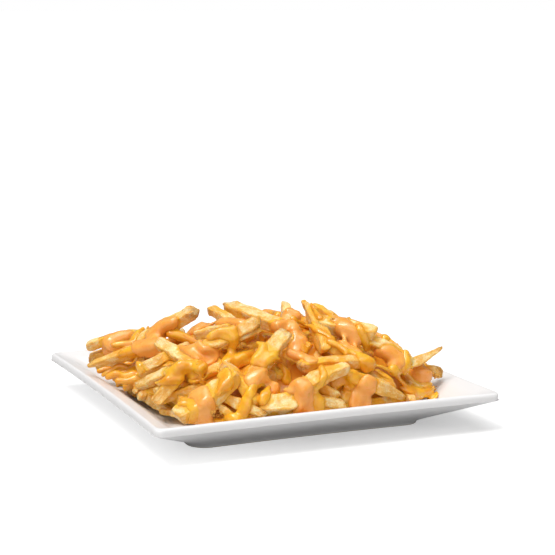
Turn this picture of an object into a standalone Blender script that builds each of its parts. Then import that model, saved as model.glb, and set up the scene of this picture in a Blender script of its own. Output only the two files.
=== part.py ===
"""Loaded cheese fries on a square white stoneware plate.

Two solids: the plate, and the heap of potato fries with its cheese sauce and melted
cheddar. Lengths below are in millimetres and become metres when a mesh is made.
The plate stands on z = 0, centred on x = y = 0, with its near side towards -y.
"""

import math

import bmesh
import bpy
import numpy as np

MM = 0.001
SEED = 23

# Plate. SLOPE_SHAPE gives shares of the way out and up from the well to the flange, and
# the other shapes give steps out and up from the edge that they are named for.
PLATE_HALF = 115.0
PLATE_HEIGHT = 25.0
LIP_TOP_SHAPE = ((-3.6, -0.4), (-1.8, 0.0))
LIP_SIDE_SHAPE = ((-0.4, -0.8), (0.0, -2.7), (-0.5, -5.1), (-1.8, -6.0))
FLANGE_HALF = 104.0
FLANGE_LEVEL = 22.0
FLANGE_SHAPE = ((-1.0, -0.4), (3.0, 1.2))
WELL_HALF = 84.0
WELL_LEVEL = 8.6
WELL_FLAT = 8.0
SLOPE_SHAPE = ((0.0, 0.03), (0.30, 0.25), (0.65, 0.66))
FOOT_HALF = 78.0
FOOT_WIDTH = 8.0
FOOT_SHAPE = ((1.6, 1.9), (0.7, 0.4), (0.0, 0.0), (-FOOT_WIDTH, 0.0))
FOOT_RECESS = 3.2
FOOT_DRAFT = 2.0
RIDGE_HALF = 86.0
RIDGE_LEVEL = 5.8
SIDE_BOW = 1.8
LIP_CORNER = 5.0
WELL_CORNER = 10.0
FOOT_CORNER = 12.0
CORNER_POINTS = 5
SIDE_POINTS = 4
CORNER_POWER = 14.0

# Outer skin of the heap: a rounded, nearly square mound that leans a little to the right
HEAP_X, HEAP_Y = 3.0, 0.0
HEAP_A, HEAP_B = 104.0, 95.0
HEAP_POWER = 2.9
HEAP_BASE = 10.0
HEAP_RISE = 48.0
HEAP_FALL = 0.72
HEAP_LEAN = 0.06
HEAP_BACK = 0.15

# Core of the heap, under the fries that show
CORE_SINK = 10.0
CORE_SEGMENTS = 28
CORE_RINGS = 10
CORE_THIN = 1.0
HALVINGS = 30
PLATE_GAP = 0.5

# Fries that the front of the heap shows: tip x, y, z, heading, rise, length, width, and
# the tip's share of that width.
# Each one runs from its free tip into the heap. Angles are in degrees.
SHOWN_FRIES = (
    (-102, 67, 37, -12, 8, 52, 8.0, 0.85),
    (-99, 73, 28, -30, 8, 48, 7.5, 0.85),
    (-110, 38, 28, -40, 21, 60, 8.0, 0.35),
    (-93, -22, 40, 11, 17, 38, 8.0, 0.90),
    (-91, 0, 28, -60, 20, 45, 6.5, 0.70),
    (-77, -8, 53, -76, -10, 53, 8.5, 0.90),
    (-93, -16, 27, -58, 26, 44, 7.0, 0.90),
    (-92, -46, 21, 0, 54, 32, 10.0, 0.75),
    (-86, -36, 14, -60, 2, 24, 5.5, 0.80),
    (-87, -73, 18, -8, 36, 45, 11.0, 0.95),
    (-46, 4, 69, 146, -31, 45, 10.0, 0.80),
    (-74, 34, 49, -140, -35, 22, 8.0, 0.90),
    (-34, 10, 68, -78, -12, 44, 8.0, 0.80),
    (-23, 4, 70, -69, -7, 50, 10.0, 0.95),
    (-55, -17, 57, -30, 12, 40, 7.0, 0.90),
    (-22, -48, 70, 168, -22, 40, 8.5, 0.95),
    (-62, -33, 48, -19, 22, 46, 9.5, 0.95),
    (-10, -60, 62, -148, -32, 48, 10.5, 0.95),
    (-54, -63, 48, -64, -36, 36, 8.5, 0.90),
    (-39, -86, 26, -6, 2, 25, 12.0, 1.00),
    (-65, -73, 30, -55, -37, 24, 5.5, 0.70),
    (-61, -71, 32, -41, -22, 34, 8.0, 0.90),
    (-13, -64, 52, -40, -26, 30, 7.0, 0.90),
    (21, -87, 44, -172, -15, 38, 9.5, 0.80),
    (10, -12, 73, -107, -22, 46, 7.5, 0.60),
    (18, -25, 76, -95, -30, 50, 9.0, 0.35),
    (29, -14, 71, -80, -20, 48, 7.0, 0.70),
    (18, -44, 65, -35, -8, 40, 9.5, 0.90),
    (17, -60, 56, -40, -28, 28, 8.5, 0.85),
    (38, -58, 60, -18, -30, 44, 9.5, 0.90),
    (101, -62, 45, -163, -10, 48, 7.0, 0.40),
    (-9, -77, 45, -4, -1, 50, 8.0, 0.90),
    (4, -79, 31, 8, 10, 38, 9.5, 0.95),
    (61, -86, 21, 179, 25, 42, 10.0, 0.35),
    (17, -91, 22, 175, 10, 34, 7.0, 0.80),
    (14, -88, 26, 155, 25, 26, 7.0, 0.85),
    (57, -82, 26, 150, 25, 30, 7.0, 0.80),
    (102, -62, 25, 160, 8, 36, 8.0, 0.80),
    (90, -70, 21, 140, 10, 34, 6.5, 0.70),
)

# Fries laid by rule over the rest of the heap
LOOSE_FRIES = 108
LOOSE_REACH = 0.93
LOOSE_LENGTH = (40.0, 68.0)
LOOSE_WIDTH = (6.5, 9.5)
LOOSE_LIFT = (-7.0, -2.0)
LOOSE_TILT = 0.10
PROBE = 10.0
UNDER_LIFT = -12.0
UNDER_RANGE = 24.0
GOLDEN_ANGLE = math.radians(137.508)

# Shape of one fry
FRY_CUTS = 1
FRY_DEPTH = (0.82, 1.0)
FRY_TAPER = (0.72, 1.0)
FRY_BEND = 0.03
FRY_ROLL = 0.6

# Easing crossing fries apart
EASE_STEPS = 90
EASE_SHARE = 0.5
EASE_NEAREST = 0.1
ROOF_PULL = 0.3
TIP_CLEAR = 1.35
EASE_TOUCH = 0.84
SINK_STEP = 1.5
EASE_REACH = (98.0, 92.0)
SKIN_ROOM = -1.0
SHOWN_SIDE = (math.radians(-113.0), math.radians(25.0))

# Cheese sauce that shows at the front: middle x, y, z, heading, rise, length, width
SHOWN_SAUCE = (
    (-82, 62, 38, 172, -43, 24, 9),
    (-82, -2, 47, -79, 9, 26, 12),
    (-68, 13, 58, -33, 32, 20, 11),
    (-61, -35, 50, -86, -10, 32, 14),
    (-41, -20, 63, 2, 11, 33, 9),
    (-72, -70, 26, -73, -38, 26, 12),
    (-36, -80, 42, 21, 0, 22, 8),
    (-6, -55, 59, -77, -36, 27, 13),
    (11, -25, 69, -48, -50, 12, 9),
    (-14, -87, 28, -77, -57, 24, 12),
    (31, -60, 59, -57, -47, 30, 11),
    (57, -72, 44, -51, -25, 18, 10),
    (86, -63, 29, -106, -29, 17, 12),
    (31, -91, 28, -175, -47, 22, 9),
)

# Melted cheddar that shows at the front, in the same columns
SHOWN_CHEDDAR = (
    (-49, -45, 63, -17, 18, 17, 9),
    (-48, -58, 56, -120, -29, 26, 7),
    (-42, -72, 50, 39, 0, 22, 10),
    (-42, -84, 28, -155, -43, 28, 7),
    (-64, -72, 41, -73, -12, 22, 11),
    (71, -75, 27, 0, -41, 30, 8),
    (16, -90, 32, 18, -42, 20, 10),
)
SAUCE_DEPTH = 7.0
SAUCE_SEGMENTS = 8
SAUCE_RINGS = 5

# Cheese sauce laid by rule over the back of the heap
LOOSE_SAUCE = 12
SAUCE_TURNS = (math.radians(8.0), math.radians(172.0))
SAUCE_REACH = (0.42, 0.84)
SAUCE_SWING = 0.7
LOOSE_SAUCE_LENGTH = (20.0, 34.0)
LOOSE_SAUCE_WIDTH = (9.0, 13.0)

# Finishes
GLAZE_COLOUR = (0.86, 0.86, 0.87, 1.0)
GLAZE_ROUGHNESS = 0.12
FRY_COLOUR = (0.86, 0.56, 0.17, 1.0)
FRY_ROUGHNESS = 0.5
SMOOTH_ANGLE = math.radians(35)


def clear_scene():
    """Remove whatever the scene held before."""
    for obj in list(bpy.data.objects):
        bpy.data.objects.remove(obj, do_unlink=True)


def new_collection(name):
    """Make a collection in the scene and return it."""
    collection = bpy.data.collections.new(name)
    bpy.context.scene.collection.children.link(collection)
    return collection


def new_material(name, colour, roughness):
    """Make a plain Principled finish."""
    material = bpy.data.materials.new(name)
    material.use_nodes = True
    shader = material.node_tree.nodes["Principled BSDF"]
    shader.inputs["Base Color"].default_value = colour
    shader.inputs["Roughness"].default_value = roughness
    shader.inputs["Metallic"].default_value = 0.0
    material.diffuse_color = colour
    return material


def lift_off_plate(bm):
    """Raise a piece of the heap, in millimetres, until all of it clears the plate."""
    points = np.array([vert.co for vert in bm.verts])
    clearance = points[:, 2] - plate_top(points[:, 0], points[:, 1])
    bmesh.ops.translate(bm, vec=(0.0, 0.0, max(0.0, PLATE_GAP - clearance.min())), verts=bm.verts)


def new_object(name, bm, collection):
    """Turn a bmesh in millimetres into an object in metres."""
    bmesh.ops.scale(bm, vec=(MM, MM, MM), verts=bm.verts)
    bmesh.ops.recalc_face_normals(bm, faces=bm.faces)
    mesh = bpy.data.meshes.new(name)
    bm.to_mesh(mesh)
    bm.free()
    obj = bpy.data.objects.new(name, mesh)
    collection.objects.link(obj)
    return obj


# Plate


def inside_profile():
    """Half size and height along the upper face, from the well to the top of the lip."""
    slope = FLANGE_HALF - WELL_HALF
    climb = FLANGE_LEVEL - WELL_LEVEL
    return (
        (WELL_HALF - WELL_FLAT, WELL_LEVEL),
        *((WELL_HALF + out * slope, WELL_LEVEL + up * climb) for out, up in SLOPE_SHAPE),
        *((FLANGE_HALF + out, FLANGE_LEVEL + up) for out, up in FLANGE_SHAPE),
        *((PLATE_HALF + out, PLATE_HEIGHT + up) for out, up in LIP_TOP_SHAPE),
    )


def plate_rings():
    """Half size, height and corner radius of each ring, from the upper face to below."""
    inner = [
        (half, z, np.interp(half, (WELL_HALF, FLANGE_HALF), (WELL_CORNER, LIP_CORNER)))
        for half, z in inside_profile()
    ]
    lip = [(PLATE_HALF + out, PLATE_HEIGHT + up, LIP_CORNER) for out, up in LIP_SIDE_SHAPE]
    ridge = [(RIDGE_HALF, RIDGE_LEVEL, WELL_CORNER)]
    foot = [(FOOT_HALF + out, up, FOOT_CORNER) for out, up in FOOT_SHAPE]
    recess = [(FOOT_HALF - FOOT_WIDTH - FOOT_DRAFT, FOOT_RECESS, FOOT_CORNER)]
    return inner + lip + ridge + foot + recess


def square_outline(half, corner):
    """Points of a square with round corners, whose sides bow slightly inwards."""
    points = []
    straight = half - corner
    bow = SIDE_BOW * half / PLATE_HALF
    for side in range(4):
        turn = side * math.pi / 2
        local = []
        for step in range(CORNER_POINTS):
            angle = -math.pi / 4 + (math.pi / 2) * (step / (CORNER_POINTS - 1) - 0.5)
            local.append((straight + corner * math.cos(angle), -straight + corner * math.sin(angle)))
        for step in range(1, SIDE_POINTS + 1):
            along = -1.0 + 2.0 * step / (SIDE_POINTS + 1)
            local.append((half - bow * (1.0 - along * along), straight * along))
        cosine, sine = math.cos(turn), math.sin(turn)
        points += [(x * cosine - y * sine, x * sine + y * cosine) for x, y in local]
    return points


def make_plate(collection):
    """Loft the square rings into the plate and close it at the well and under the foot."""
    bm = bmesh.new()
    loops = []
    for half, z, corner in plate_rings():
        loops.append([bm.verts.new((x, y, z)) for x, y in square_outline(half, corner)])
    for upper, lower in zip(loops, loops[1:]):
        for index in range(len(upper)):
            after = (index + 1) % len(upper)
            bm.faces.new((upper[index], lower[index], lower[after], upper[after]))
    bm.faces.new(loops[0])
    bm.faces.new(loops[-1][::-1])
    plate = new_object("plate", bm, collection)
    plate.data.materials.append(new_material("white_glaze", GLAZE_COLOUR, GLAZE_ROUGHNESS))
    plate.data.shade_smooth()
    plate.data.set_sharp_from_angle(angle=SMOOTH_ANGLE)
    return plate


def plate_top(x, y):
    """Height of the plate's upper face, taken a little high near its corners."""
    half = (np.abs(x) ** CORNER_POWER + np.abs(y) ** CORNER_POWER) ** (1 / CORNER_POWER)
    sizes, heights = zip(*inside_profile())
    return np.interp(half + SIDE_BOW, sizes, heights)


# Layout of the heap


def heap_top(x, y):
    """Height of the heap's smooth outer skin."""
    across = np.abs((x - HEAP_X) / HEAP_A) ** HEAP_POWER + np.abs((y - HEAP_Y) / HEAP_B) ** HEAP_POWER
    lean = 1 + HEAP_LEAN * (x - HEAP_X) / HEAP_A - HEAP_BACK * (y - HEAP_Y) / HEAP_B
    return HEAP_BASE + HEAP_RISE * lean * np.clip(1 - across, 0, 1) ** HEAP_FALL


def heap_edge(angle):
    """Distance from the heap's middle to its edge in a direction."""
    c, s = np.abs(np.cos(angle)) / HEAP_A, np.abs(np.sin(angle)) / HEAP_B
    return (c ** HEAP_POWER + s ** HEAP_POWER) ** (-1 / HEAP_POWER)


def direction(heading, rise):
    """Unit vector from a heading and a rise in radians."""
    return np.stack([np.cos(rise) * np.cos(heading), np.cos(rise) * np.sin(heading), np.sin(rise)], -1)


def closest_places(a0, a1, b0, b1):
    """Where along two sets of segments the closest points lie, from 0 to 1."""
    u, v, w = a1 - a0, b1 - b0, a0 - b0
    uu, vv, uv = (u * u).sum(1), (v * v).sum(1), (u * v).sum(1)
    uw, vw = (u * w).sum(1), (v * w).sum(1)
    s = np.clip((uv * vw - uw * vv) / np.maximum(uu * vv - uv * uv, 1e-6), 0, 1)
    t = np.clip((uv * s + vw) / vv, 0, 1)
    s = np.clip((uv * t - uw) / uu, 0, 1)
    return s, t


def ease_apart(start, end, radius, free):
    """Move the free fries until they only lean on each other and clear the plate."""
    length = np.linalg.norm(end - start, axis=1)
    first, second = np.triu_indices(len(start), 1)
    moving = free[first] + free[second]
    first, second = first[moving > 0], second[moving > 0]
    share_a = (free[first] / (free[first] + free[second]))[:, None]
    reach = EASE_TOUCH * (radius[first] + radius[second])
    fixed = free[first] == 0
    for _ in range(EASE_STEPS):
        s, t = closest_places(start[first], end[first], start[second], end[second])
        s, t = s[:, None], t[:, None]
        gap = (start[first] * (1 - s) + end[first] * s) - (start[second] * (1 - t) + end[second] * t)
        distance = np.linalg.norm(gap, axis=1)
        overlap = np.clip(reach - distance, 0, None)
        push = EASE_SHARE * gap * (overlap / np.maximum(distance, EASE_NEAREST))[:, None]
        np.add.at(start, first, push * share_a * (1 - s))
        np.add.at(end, first, push * share_a * s)
        np.add.at(start, second, -push * (1 - share_a) * (1 - t))
        np.add.at(end, second, -push * (1 - share_a) * t)
        sink_under(start, end, first[fixed], second[fixed], reach[fixed])
        for tip in (start, end):
            roof = heap_top(tip[:, 0], tip[:, 1]) + SKIN_ROOM
            tip[:, 2] -= ROOF_PULL * free * np.clip(tip[:, 2] - roof, 0, None)
            for axis, reach_out in enumerate(EASE_REACH):
                outside = np.clip(np.abs(tip[:, axis]) + radius - reach_out, 0, None)
                tip[:, axis] -= free * np.sign(tip[:, axis]) * outside
        middle = (start + end) / 2
        heading = (end - start) / np.linalg.norm(end - start, axis=1)[:, None]
        start[:] = middle - heading * length[:, None] / 2
        end[:] = middle + heading * length[:, None] / 2
        for tip in (start, end):
            floor = plate_top(tip[:, 0], tip[:, 1]) + TIP_CLEAR * radius + PLATE_GAP
            tip[:, 2] = np.maximum(tip[:, 2], floor)


def sink_under(start, end, shown, loose, reach):
    """Move loose fries behind the shown ones that they cross, seen from the shown side."""
    out = direction(*SHOWN_SIDE)
    ends = (start[shown], end[shown], start[loose], end[loose])
    s, t = closest_places(*(tips - (tips @ out)[:, None] * out for tips in ends))
    s, t = s[:, None], t[:, None]
    gap = (start[loose] * (1 - t) + end[loose] * t) - (start[shown] * (1 - s) + end[shown] * s)
    depth = gap @ out
    aside = np.linalg.norm(gap - depth[:, None] * out, axis=1)
    push = np.where(aside < reach, np.clip(depth + reach, 0, SINK_STEP), 0)[:, None] * out
    np.add.at(start, loose, -push * (1 - t))
    np.add.at(end, loose, -push * t)


def lay_fries():
    """Place every fry and return rows of start, end, width, depth, roll, taper and bend."""
    rng = np.random.default_rng(SEED)
    shown = np.array(SHOWN_FRIES, float)
    start = shown[:, :3]
    end = start + direction(*np.radians(shown[:, 3:5].T)) * shown[:, 5:6]
    width = shown[:, 6]

    step = np.arange(LOOSE_FRIES)
    angle = step * GOLDEN_ANGLE
    out = LOOSE_REACH * np.sqrt((step + 0.5) / LOOSE_FRIES) * heap_edge(angle)
    x, y = HEAP_X + out * np.cos(angle), HEAP_Y + out * np.sin(angle)
    middle = (start + end) / 2
    nearest = np.linalg.norm(np.stack([x, y], 1)[:, None] - middle[None, :, :2], axis=2).min(1)
    lift = np.where(nearest < UNDER_RANGE, UNDER_LIFT, rng.uniform(*LOOSE_LIFT, LOOSE_FRIES))
    heading = rng.uniform(-math.pi, math.pi, LOOSE_FRIES)
    ahead = heap_top(x + PROBE * np.cos(heading), y + PROBE * np.sin(heading))
    behind = heap_top(x - PROBE * np.cos(heading), y - PROBE * np.sin(heading))
    rise = np.arctan2(ahead - behind, 2 * PROBE) + rng.normal(0, LOOSE_TILT, LOOSE_FRIES)
    half = direction(heading, rise) * rng.uniform(*LOOSE_LENGTH, (LOOSE_FRIES, 1)) / 2
    place = np.stack([x, y, heap_top(x, y) + lift], 1)

    start = np.concatenate([start, place - half])
    end = np.concatenate([end, place + half])
    width = np.concatenate([width, rng.uniform(*LOOSE_WIDTH, LOOSE_FRIES)])
    free = np.concatenate([np.zeros(len(shown)), np.ones(LOOSE_FRIES)])
    ease_apart(start, end, width / 2, free)

    count = len(start)
    depth = width * rng.uniform(*FRY_DEPTH, count)
    roll = rng.uniform(-FRY_ROLL, FRY_ROLL, count)
    taper = rng.uniform(*FRY_TAPER, (count, 2))
    taper[:len(shown), 0] = shown[:, 7]
    bend = rng.normal(0, FRY_BEND, count)
    return [dict(start=start[i], end=end[i], width=width[i], depth=depth[i], roll=roll[i],
                 taper=taper[i], bend=bend[i]) for i in range(count)]


def frame_along(axis, roll=0.0):
    """Side and upward vectors of a piece that runs along an axis."""
    side = np.cross((0.0, 0.0, 1.0), axis)
    side /= max(np.linalg.norm(side), 1e-6)
    up = np.cross(axis, side)
    return side * math.cos(roll) + up * math.sin(roll), up * math.cos(roll) - side * math.sin(roll)


# Solids of the heap


def make_fry(index, fry, collection):
    """A cut potato stick: a box with a few cuts, tapered to its ends and slightly bent."""
    bm = bmesh.new()
    bmesh.ops.create_cube(bm, size=1.0)
    lengthwise = [e for e in bm.edges if abs(e.verts[0].co.x - e.verts[1].co.x) > 0.5]
    bmesh.ops.subdivide_edges(bm, edges=lengthwise, cuts=FRY_CUTS)
    along = fry["end"] - fry["start"]
    length = np.linalg.norm(along)
    side, up = frame_along(along / length, fry["roll"])
    for vert in bm.verts:
        t = vert.co.x + 0.5
        full = 1.0 - abs(2.0 * t - 1.0)
        size = full + (1.0 - full) * (fry["taper"][0] if t < 0.5 else fry["taper"][1])
        bow = fry["bend"] * length * 4 * t * (1 - t)
        aside = side * vert.co.y * fry["width"] * size
        above = up * (vert.co.z * fry["depth"] * size + bow)
        vert.co = fry["start"] + along * t + aside + above
    lift_off_plate(bm)
    return new_object(f"fry_{index}", bm, collection)


def make_drop(index, row, collection):
    """A thick ribbon of sauce: a flattened ball, long one way, that follows its row."""
    x, y, z, heading, rise, length, width = row
    axis = direction(math.radians(heading), math.radians(rise))
    side, up = frame_along(axis)
    bm = bmesh.new()
    bmesh.ops.create_uvsphere(bm, u_segments=SAUCE_SEGMENTS, v_segments=SAUCE_RINGS, radius=0.5)
    for vert in bm.verts:
        place = np.array((x, y, z)) + axis * vert.co.z * length
        vert.co = place + side * vert.co.x * width + up * vert.co.y * SAUCE_DEPTH
    lift_off_plate(bm)
    return new_object(f"sauce_{index}", bm, collection)


def lay_loose_sauce():
    """Ribbons over the half of the heap that faces away, in the columns of SHOWN_SAUCE."""
    rng = np.random.default_rng(SEED + 1)
    rows = []
    for step in range(LOOSE_SAUCE):
        angle = SAUCE_TURNS[0] + (SAUCE_TURNS[1] - SAUCE_TURNS[0]) * (step + 0.5) / LOOSE_SAUCE
        out = heap_edge(angle) * SAUCE_REACH[step % 2]
        x, y = HEAP_X + out * math.cos(angle), HEAP_Y + out * math.sin(angle)
        heading = angle + rng.uniform(-SAUCE_SWING, SAUCE_SWING)
        ahead = heap_top(x + PROBE * math.cos(heading), y + PROBE * math.sin(heading))
        rise = math.atan2(ahead - heap_top(x, y), PROBE)
        rows.append((x, y, heap_top(x, y), math.degrees(heading), math.degrees(rise),
                     rng.uniform(*LOOSE_SAUCE_LENGTH), rng.uniform(*LOOSE_SAUCE_WIDTH)))
    return rows


def core_edge(angle):
    """Distance at which the core's top comes down to the plate, found by halving."""
    near, far = 0.0, float(heap_edge(angle))
    for _ in range(HALVINGS):
        out = (near + far) / 2
        x, y = HEAP_X + out * math.cos(angle), HEAP_Y + out * math.sin(angle)
        if heap_top(x, y) - CORE_SINK > plate_top(x, y) + PLATE_GAP + CORE_THIN:
            near = out
        else:
            far = out
    return near


def make_core(collection):
    """The packed inside of the heap: a ball pressed to the plate below and the skin above."""
    bm = bmesh.new()
    bmesh.ops.create_uvsphere(bm, u_segments=CORE_SEGMENTS, v_segments=CORE_RINGS, radius=1.0)
    for vert in bm.verts:
        angle = math.atan2(vert.co.y, vert.co.x)
        out = core_edge(angle) * min(1.0, math.hypot(vert.co.x, vert.co.y))
        x, y = HEAP_X + out * math.cos(angle), HEAP_Y + out * math.sin(angle)
        bottom = float(plate_top(x, y)) + PLATE_GAP
        top = max(float(heap_top(x, y)) - CORE_SINK, bottom + CORE_THIN)
        vert.co = (x, y, top if vert.co.z >= -1e-6 else bottom)
    return new_object("fries_heap", bm, collection)


def keep_largest_shell(obj):
    """Drop loose scraps and sealed hollows, which are shells of their own."""
    bm = bmesh.new()
    bm.from_mesh(obj.data)
    bmesh.ops.triangulate(bm, faces=bm.faces)
    left = set(bm.faces)
    shells = []
    while left:
        seed = left.pop()
        shell, queue = [seed], [seed]
        while queue:
            for edge in queue.pop().edges:
                for face in edge.link_faces:
                    if face in left:
                        left.remove(face)
                        shell.append(face)
                        queue.append(face)
        shells.append(shell)
    shells.sort(key=len, reverse=True)
    scraps = [face for shell in shells[1:] for face in shell]
    bmesh.ops.delete(bm, geom=scraps, context="FACES")
    bm.to_mesh(obj.data)
    bm.free()


def make_heap(collection):
    """Fuse the core, the fries and the thick sauce into one solid."""
    pieces = new_collection("heap_pieces")
    heap = make_core(collection)
    for index, fry in enumerate(lay_fries()):
        make_fry(index, fry, pieces)
    for index, row in enumerate(SHOWN_SAUCE + SHOWN_CHEDDAR + tuple(lay_loose_sauce())):
        make_drop(index, row, pieces)
    union = heap.modifiers.new("fuse", "BOOLEAN")
    union.operation = "UNION"
    union.operand_type = "COLLECTION"
    union.collection = pieces
    union.solver = "MANIFOLD"
    bpy.context.view_layer.update()
    fused = bpy.data.meshes.new_from_object(heap.evaluated_get(bpy.context.evaluated_depsgraph_get()))
    heap.modifiers.remove(union)
    heap.data = fused
    for piece in list(pieces.objects):
        bpy.data.objects.remove(piece, do_unlink=True)
    bpy.data.collections.remove(pieces)
    keep_largest_shell(heap)
    heap.data.materials.clear()
    heap.data.materials.append(new_material("golden_fries", FRY_COLOUR, FRY_ROUGHNESS))
    return heap


def main():
    clear_scene()
    collection = new_collection("cheese_fries")
    make_plate(collection)
    make_heap(collection)


main()
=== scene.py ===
"""Looks of loaded cheese fries on a square white plate.

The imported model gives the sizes. This script lays the same fries as the solid heap, each one
cut, fried and coloured by itself, pours the cheese sauce and the melted cheddar over them and
sets up a pale studio. Lengths in the layout are millimetres and become metres in the meshes.
"""

import math
from functools import lru_cache

import bpy
import numpy as np
from bpy.props import FloatProperty, FloatVectorProperty, IntProperty, PointerProperty
from mathutils import Matrix, Vector
from mathutils.bvhtree import BVHTree


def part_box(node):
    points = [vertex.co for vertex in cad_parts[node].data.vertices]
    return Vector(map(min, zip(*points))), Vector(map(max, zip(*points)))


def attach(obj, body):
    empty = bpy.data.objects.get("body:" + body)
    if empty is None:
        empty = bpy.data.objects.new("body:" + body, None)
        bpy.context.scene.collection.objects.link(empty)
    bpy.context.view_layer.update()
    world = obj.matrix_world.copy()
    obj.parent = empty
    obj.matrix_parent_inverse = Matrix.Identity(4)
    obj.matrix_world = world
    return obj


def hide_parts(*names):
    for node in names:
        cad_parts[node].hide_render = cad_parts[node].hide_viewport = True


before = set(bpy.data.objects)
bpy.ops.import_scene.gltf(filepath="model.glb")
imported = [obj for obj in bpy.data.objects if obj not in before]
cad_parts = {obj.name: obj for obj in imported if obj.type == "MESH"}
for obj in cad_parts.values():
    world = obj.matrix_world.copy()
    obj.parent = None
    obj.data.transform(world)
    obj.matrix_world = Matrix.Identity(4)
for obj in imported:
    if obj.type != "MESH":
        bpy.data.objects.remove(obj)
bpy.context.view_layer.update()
PLATE_LOW, PLATE_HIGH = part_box("plate")

bl_info = {
    "name": "Loaded Cheese Fries",
    "version": (1, 0, 0),
    "blender": (4, 5, 0),
    "location": "3D View > Sidebar > Cheese Fries",
    "description": "Builds a plate of fries with cheese sauce and melted cheddar",
    "category": "Object",
}

MM = 0.001
SEED = 23

# Photograph and the camera fitted to it
PHOTO_SIDE = 555
PHOTO_CENTRE = PHOTO_SIDE / 2
LENS = 104.2
SENSOR = 36.0
CAMERA_AT = (-405.5, -967.4, 266.7)
CAMERA_HEADING = math.radians(23.27)
CAMERA_PITCH = math.radians(9.63)
PIXEL_SIZE = 0.64

# Plate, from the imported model's box and the part's own sizes. Each row of a shape says how far a
# ring lies outwards and upwards from there. In the lip's side, the share of its thickness stands
# between them. The slope's rows are shares of its own width and climb.
PLATE_HALF = round(float(PLATE_HIGH[0]) / MM, 1)
PLATE_HEIGHT = round(float(PLATE_HIGH[2]) / MM, 1)
LIP_THICKNESS = 6.0
FLANGE_HALF = 104.0
FLANGE_LEVEL = 22.0
WELL_HALF = 84.0
WELL_LEVEL = 8.6
WELL_FLAT = 8.0
SLOPE_SHAPE = ((0.0, 0.03), (0.30, 0.25), (0.65, 0.66))
FLANGE_SHAPE = ((-1.0, -0.4), (3.0, 1.2))
LIP_TOP_SHAPE = ((-3.6, -0.4), (-1.8, 0.0))
LIP_SIDE_SHAPE = ((-0.4, 0.0, -0.8), (0.0, 0.45, 0.0), (-0.5, 1.0, 0.9), (-1.8, 1.0, 0.0))
FOOT_SHAPE = ((1.6, 1.9), (0.7, 0.4), (0.0, 0.0))
FOOT_HALF = 78.0
FOOT_WIDTH = 8.0
FOOT_RECESS = 3.2
FOOT_DRAFT = 2.0
RIDGE_HALF = 86.0
RIDGE_LEVEL = 5.8
SIDE_BOW = 1.8
LIP_CORNER = 5.0
WELL_CORNER = 10.0
FOOT_CORNER = 12.0
CORNER_POWER = 14.0
CORNER_STEPS = 14
SIDE_STEPS = 26
PROFILE_STEPS = 5

# Heights in metres over which the foot's bare clay gives way to glaze
BARE_CLAY = (0.0003, 0.0009)

# Outer skin of the heap, as in the part
HEAP_X, HEAP_Y = 3.0, 0.0
HEAP_A, HEAP_B = 104.0, 95.0
HEAP_POWER = 2.9
HEAP_BASE = 10.0
HEAP_RISE = 48.0
HEAP_FALL = 0.72
HEAP_LEAN = 0.06
HEAP_BACK = 0.15
PLATE_GAP = 0.5

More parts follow.
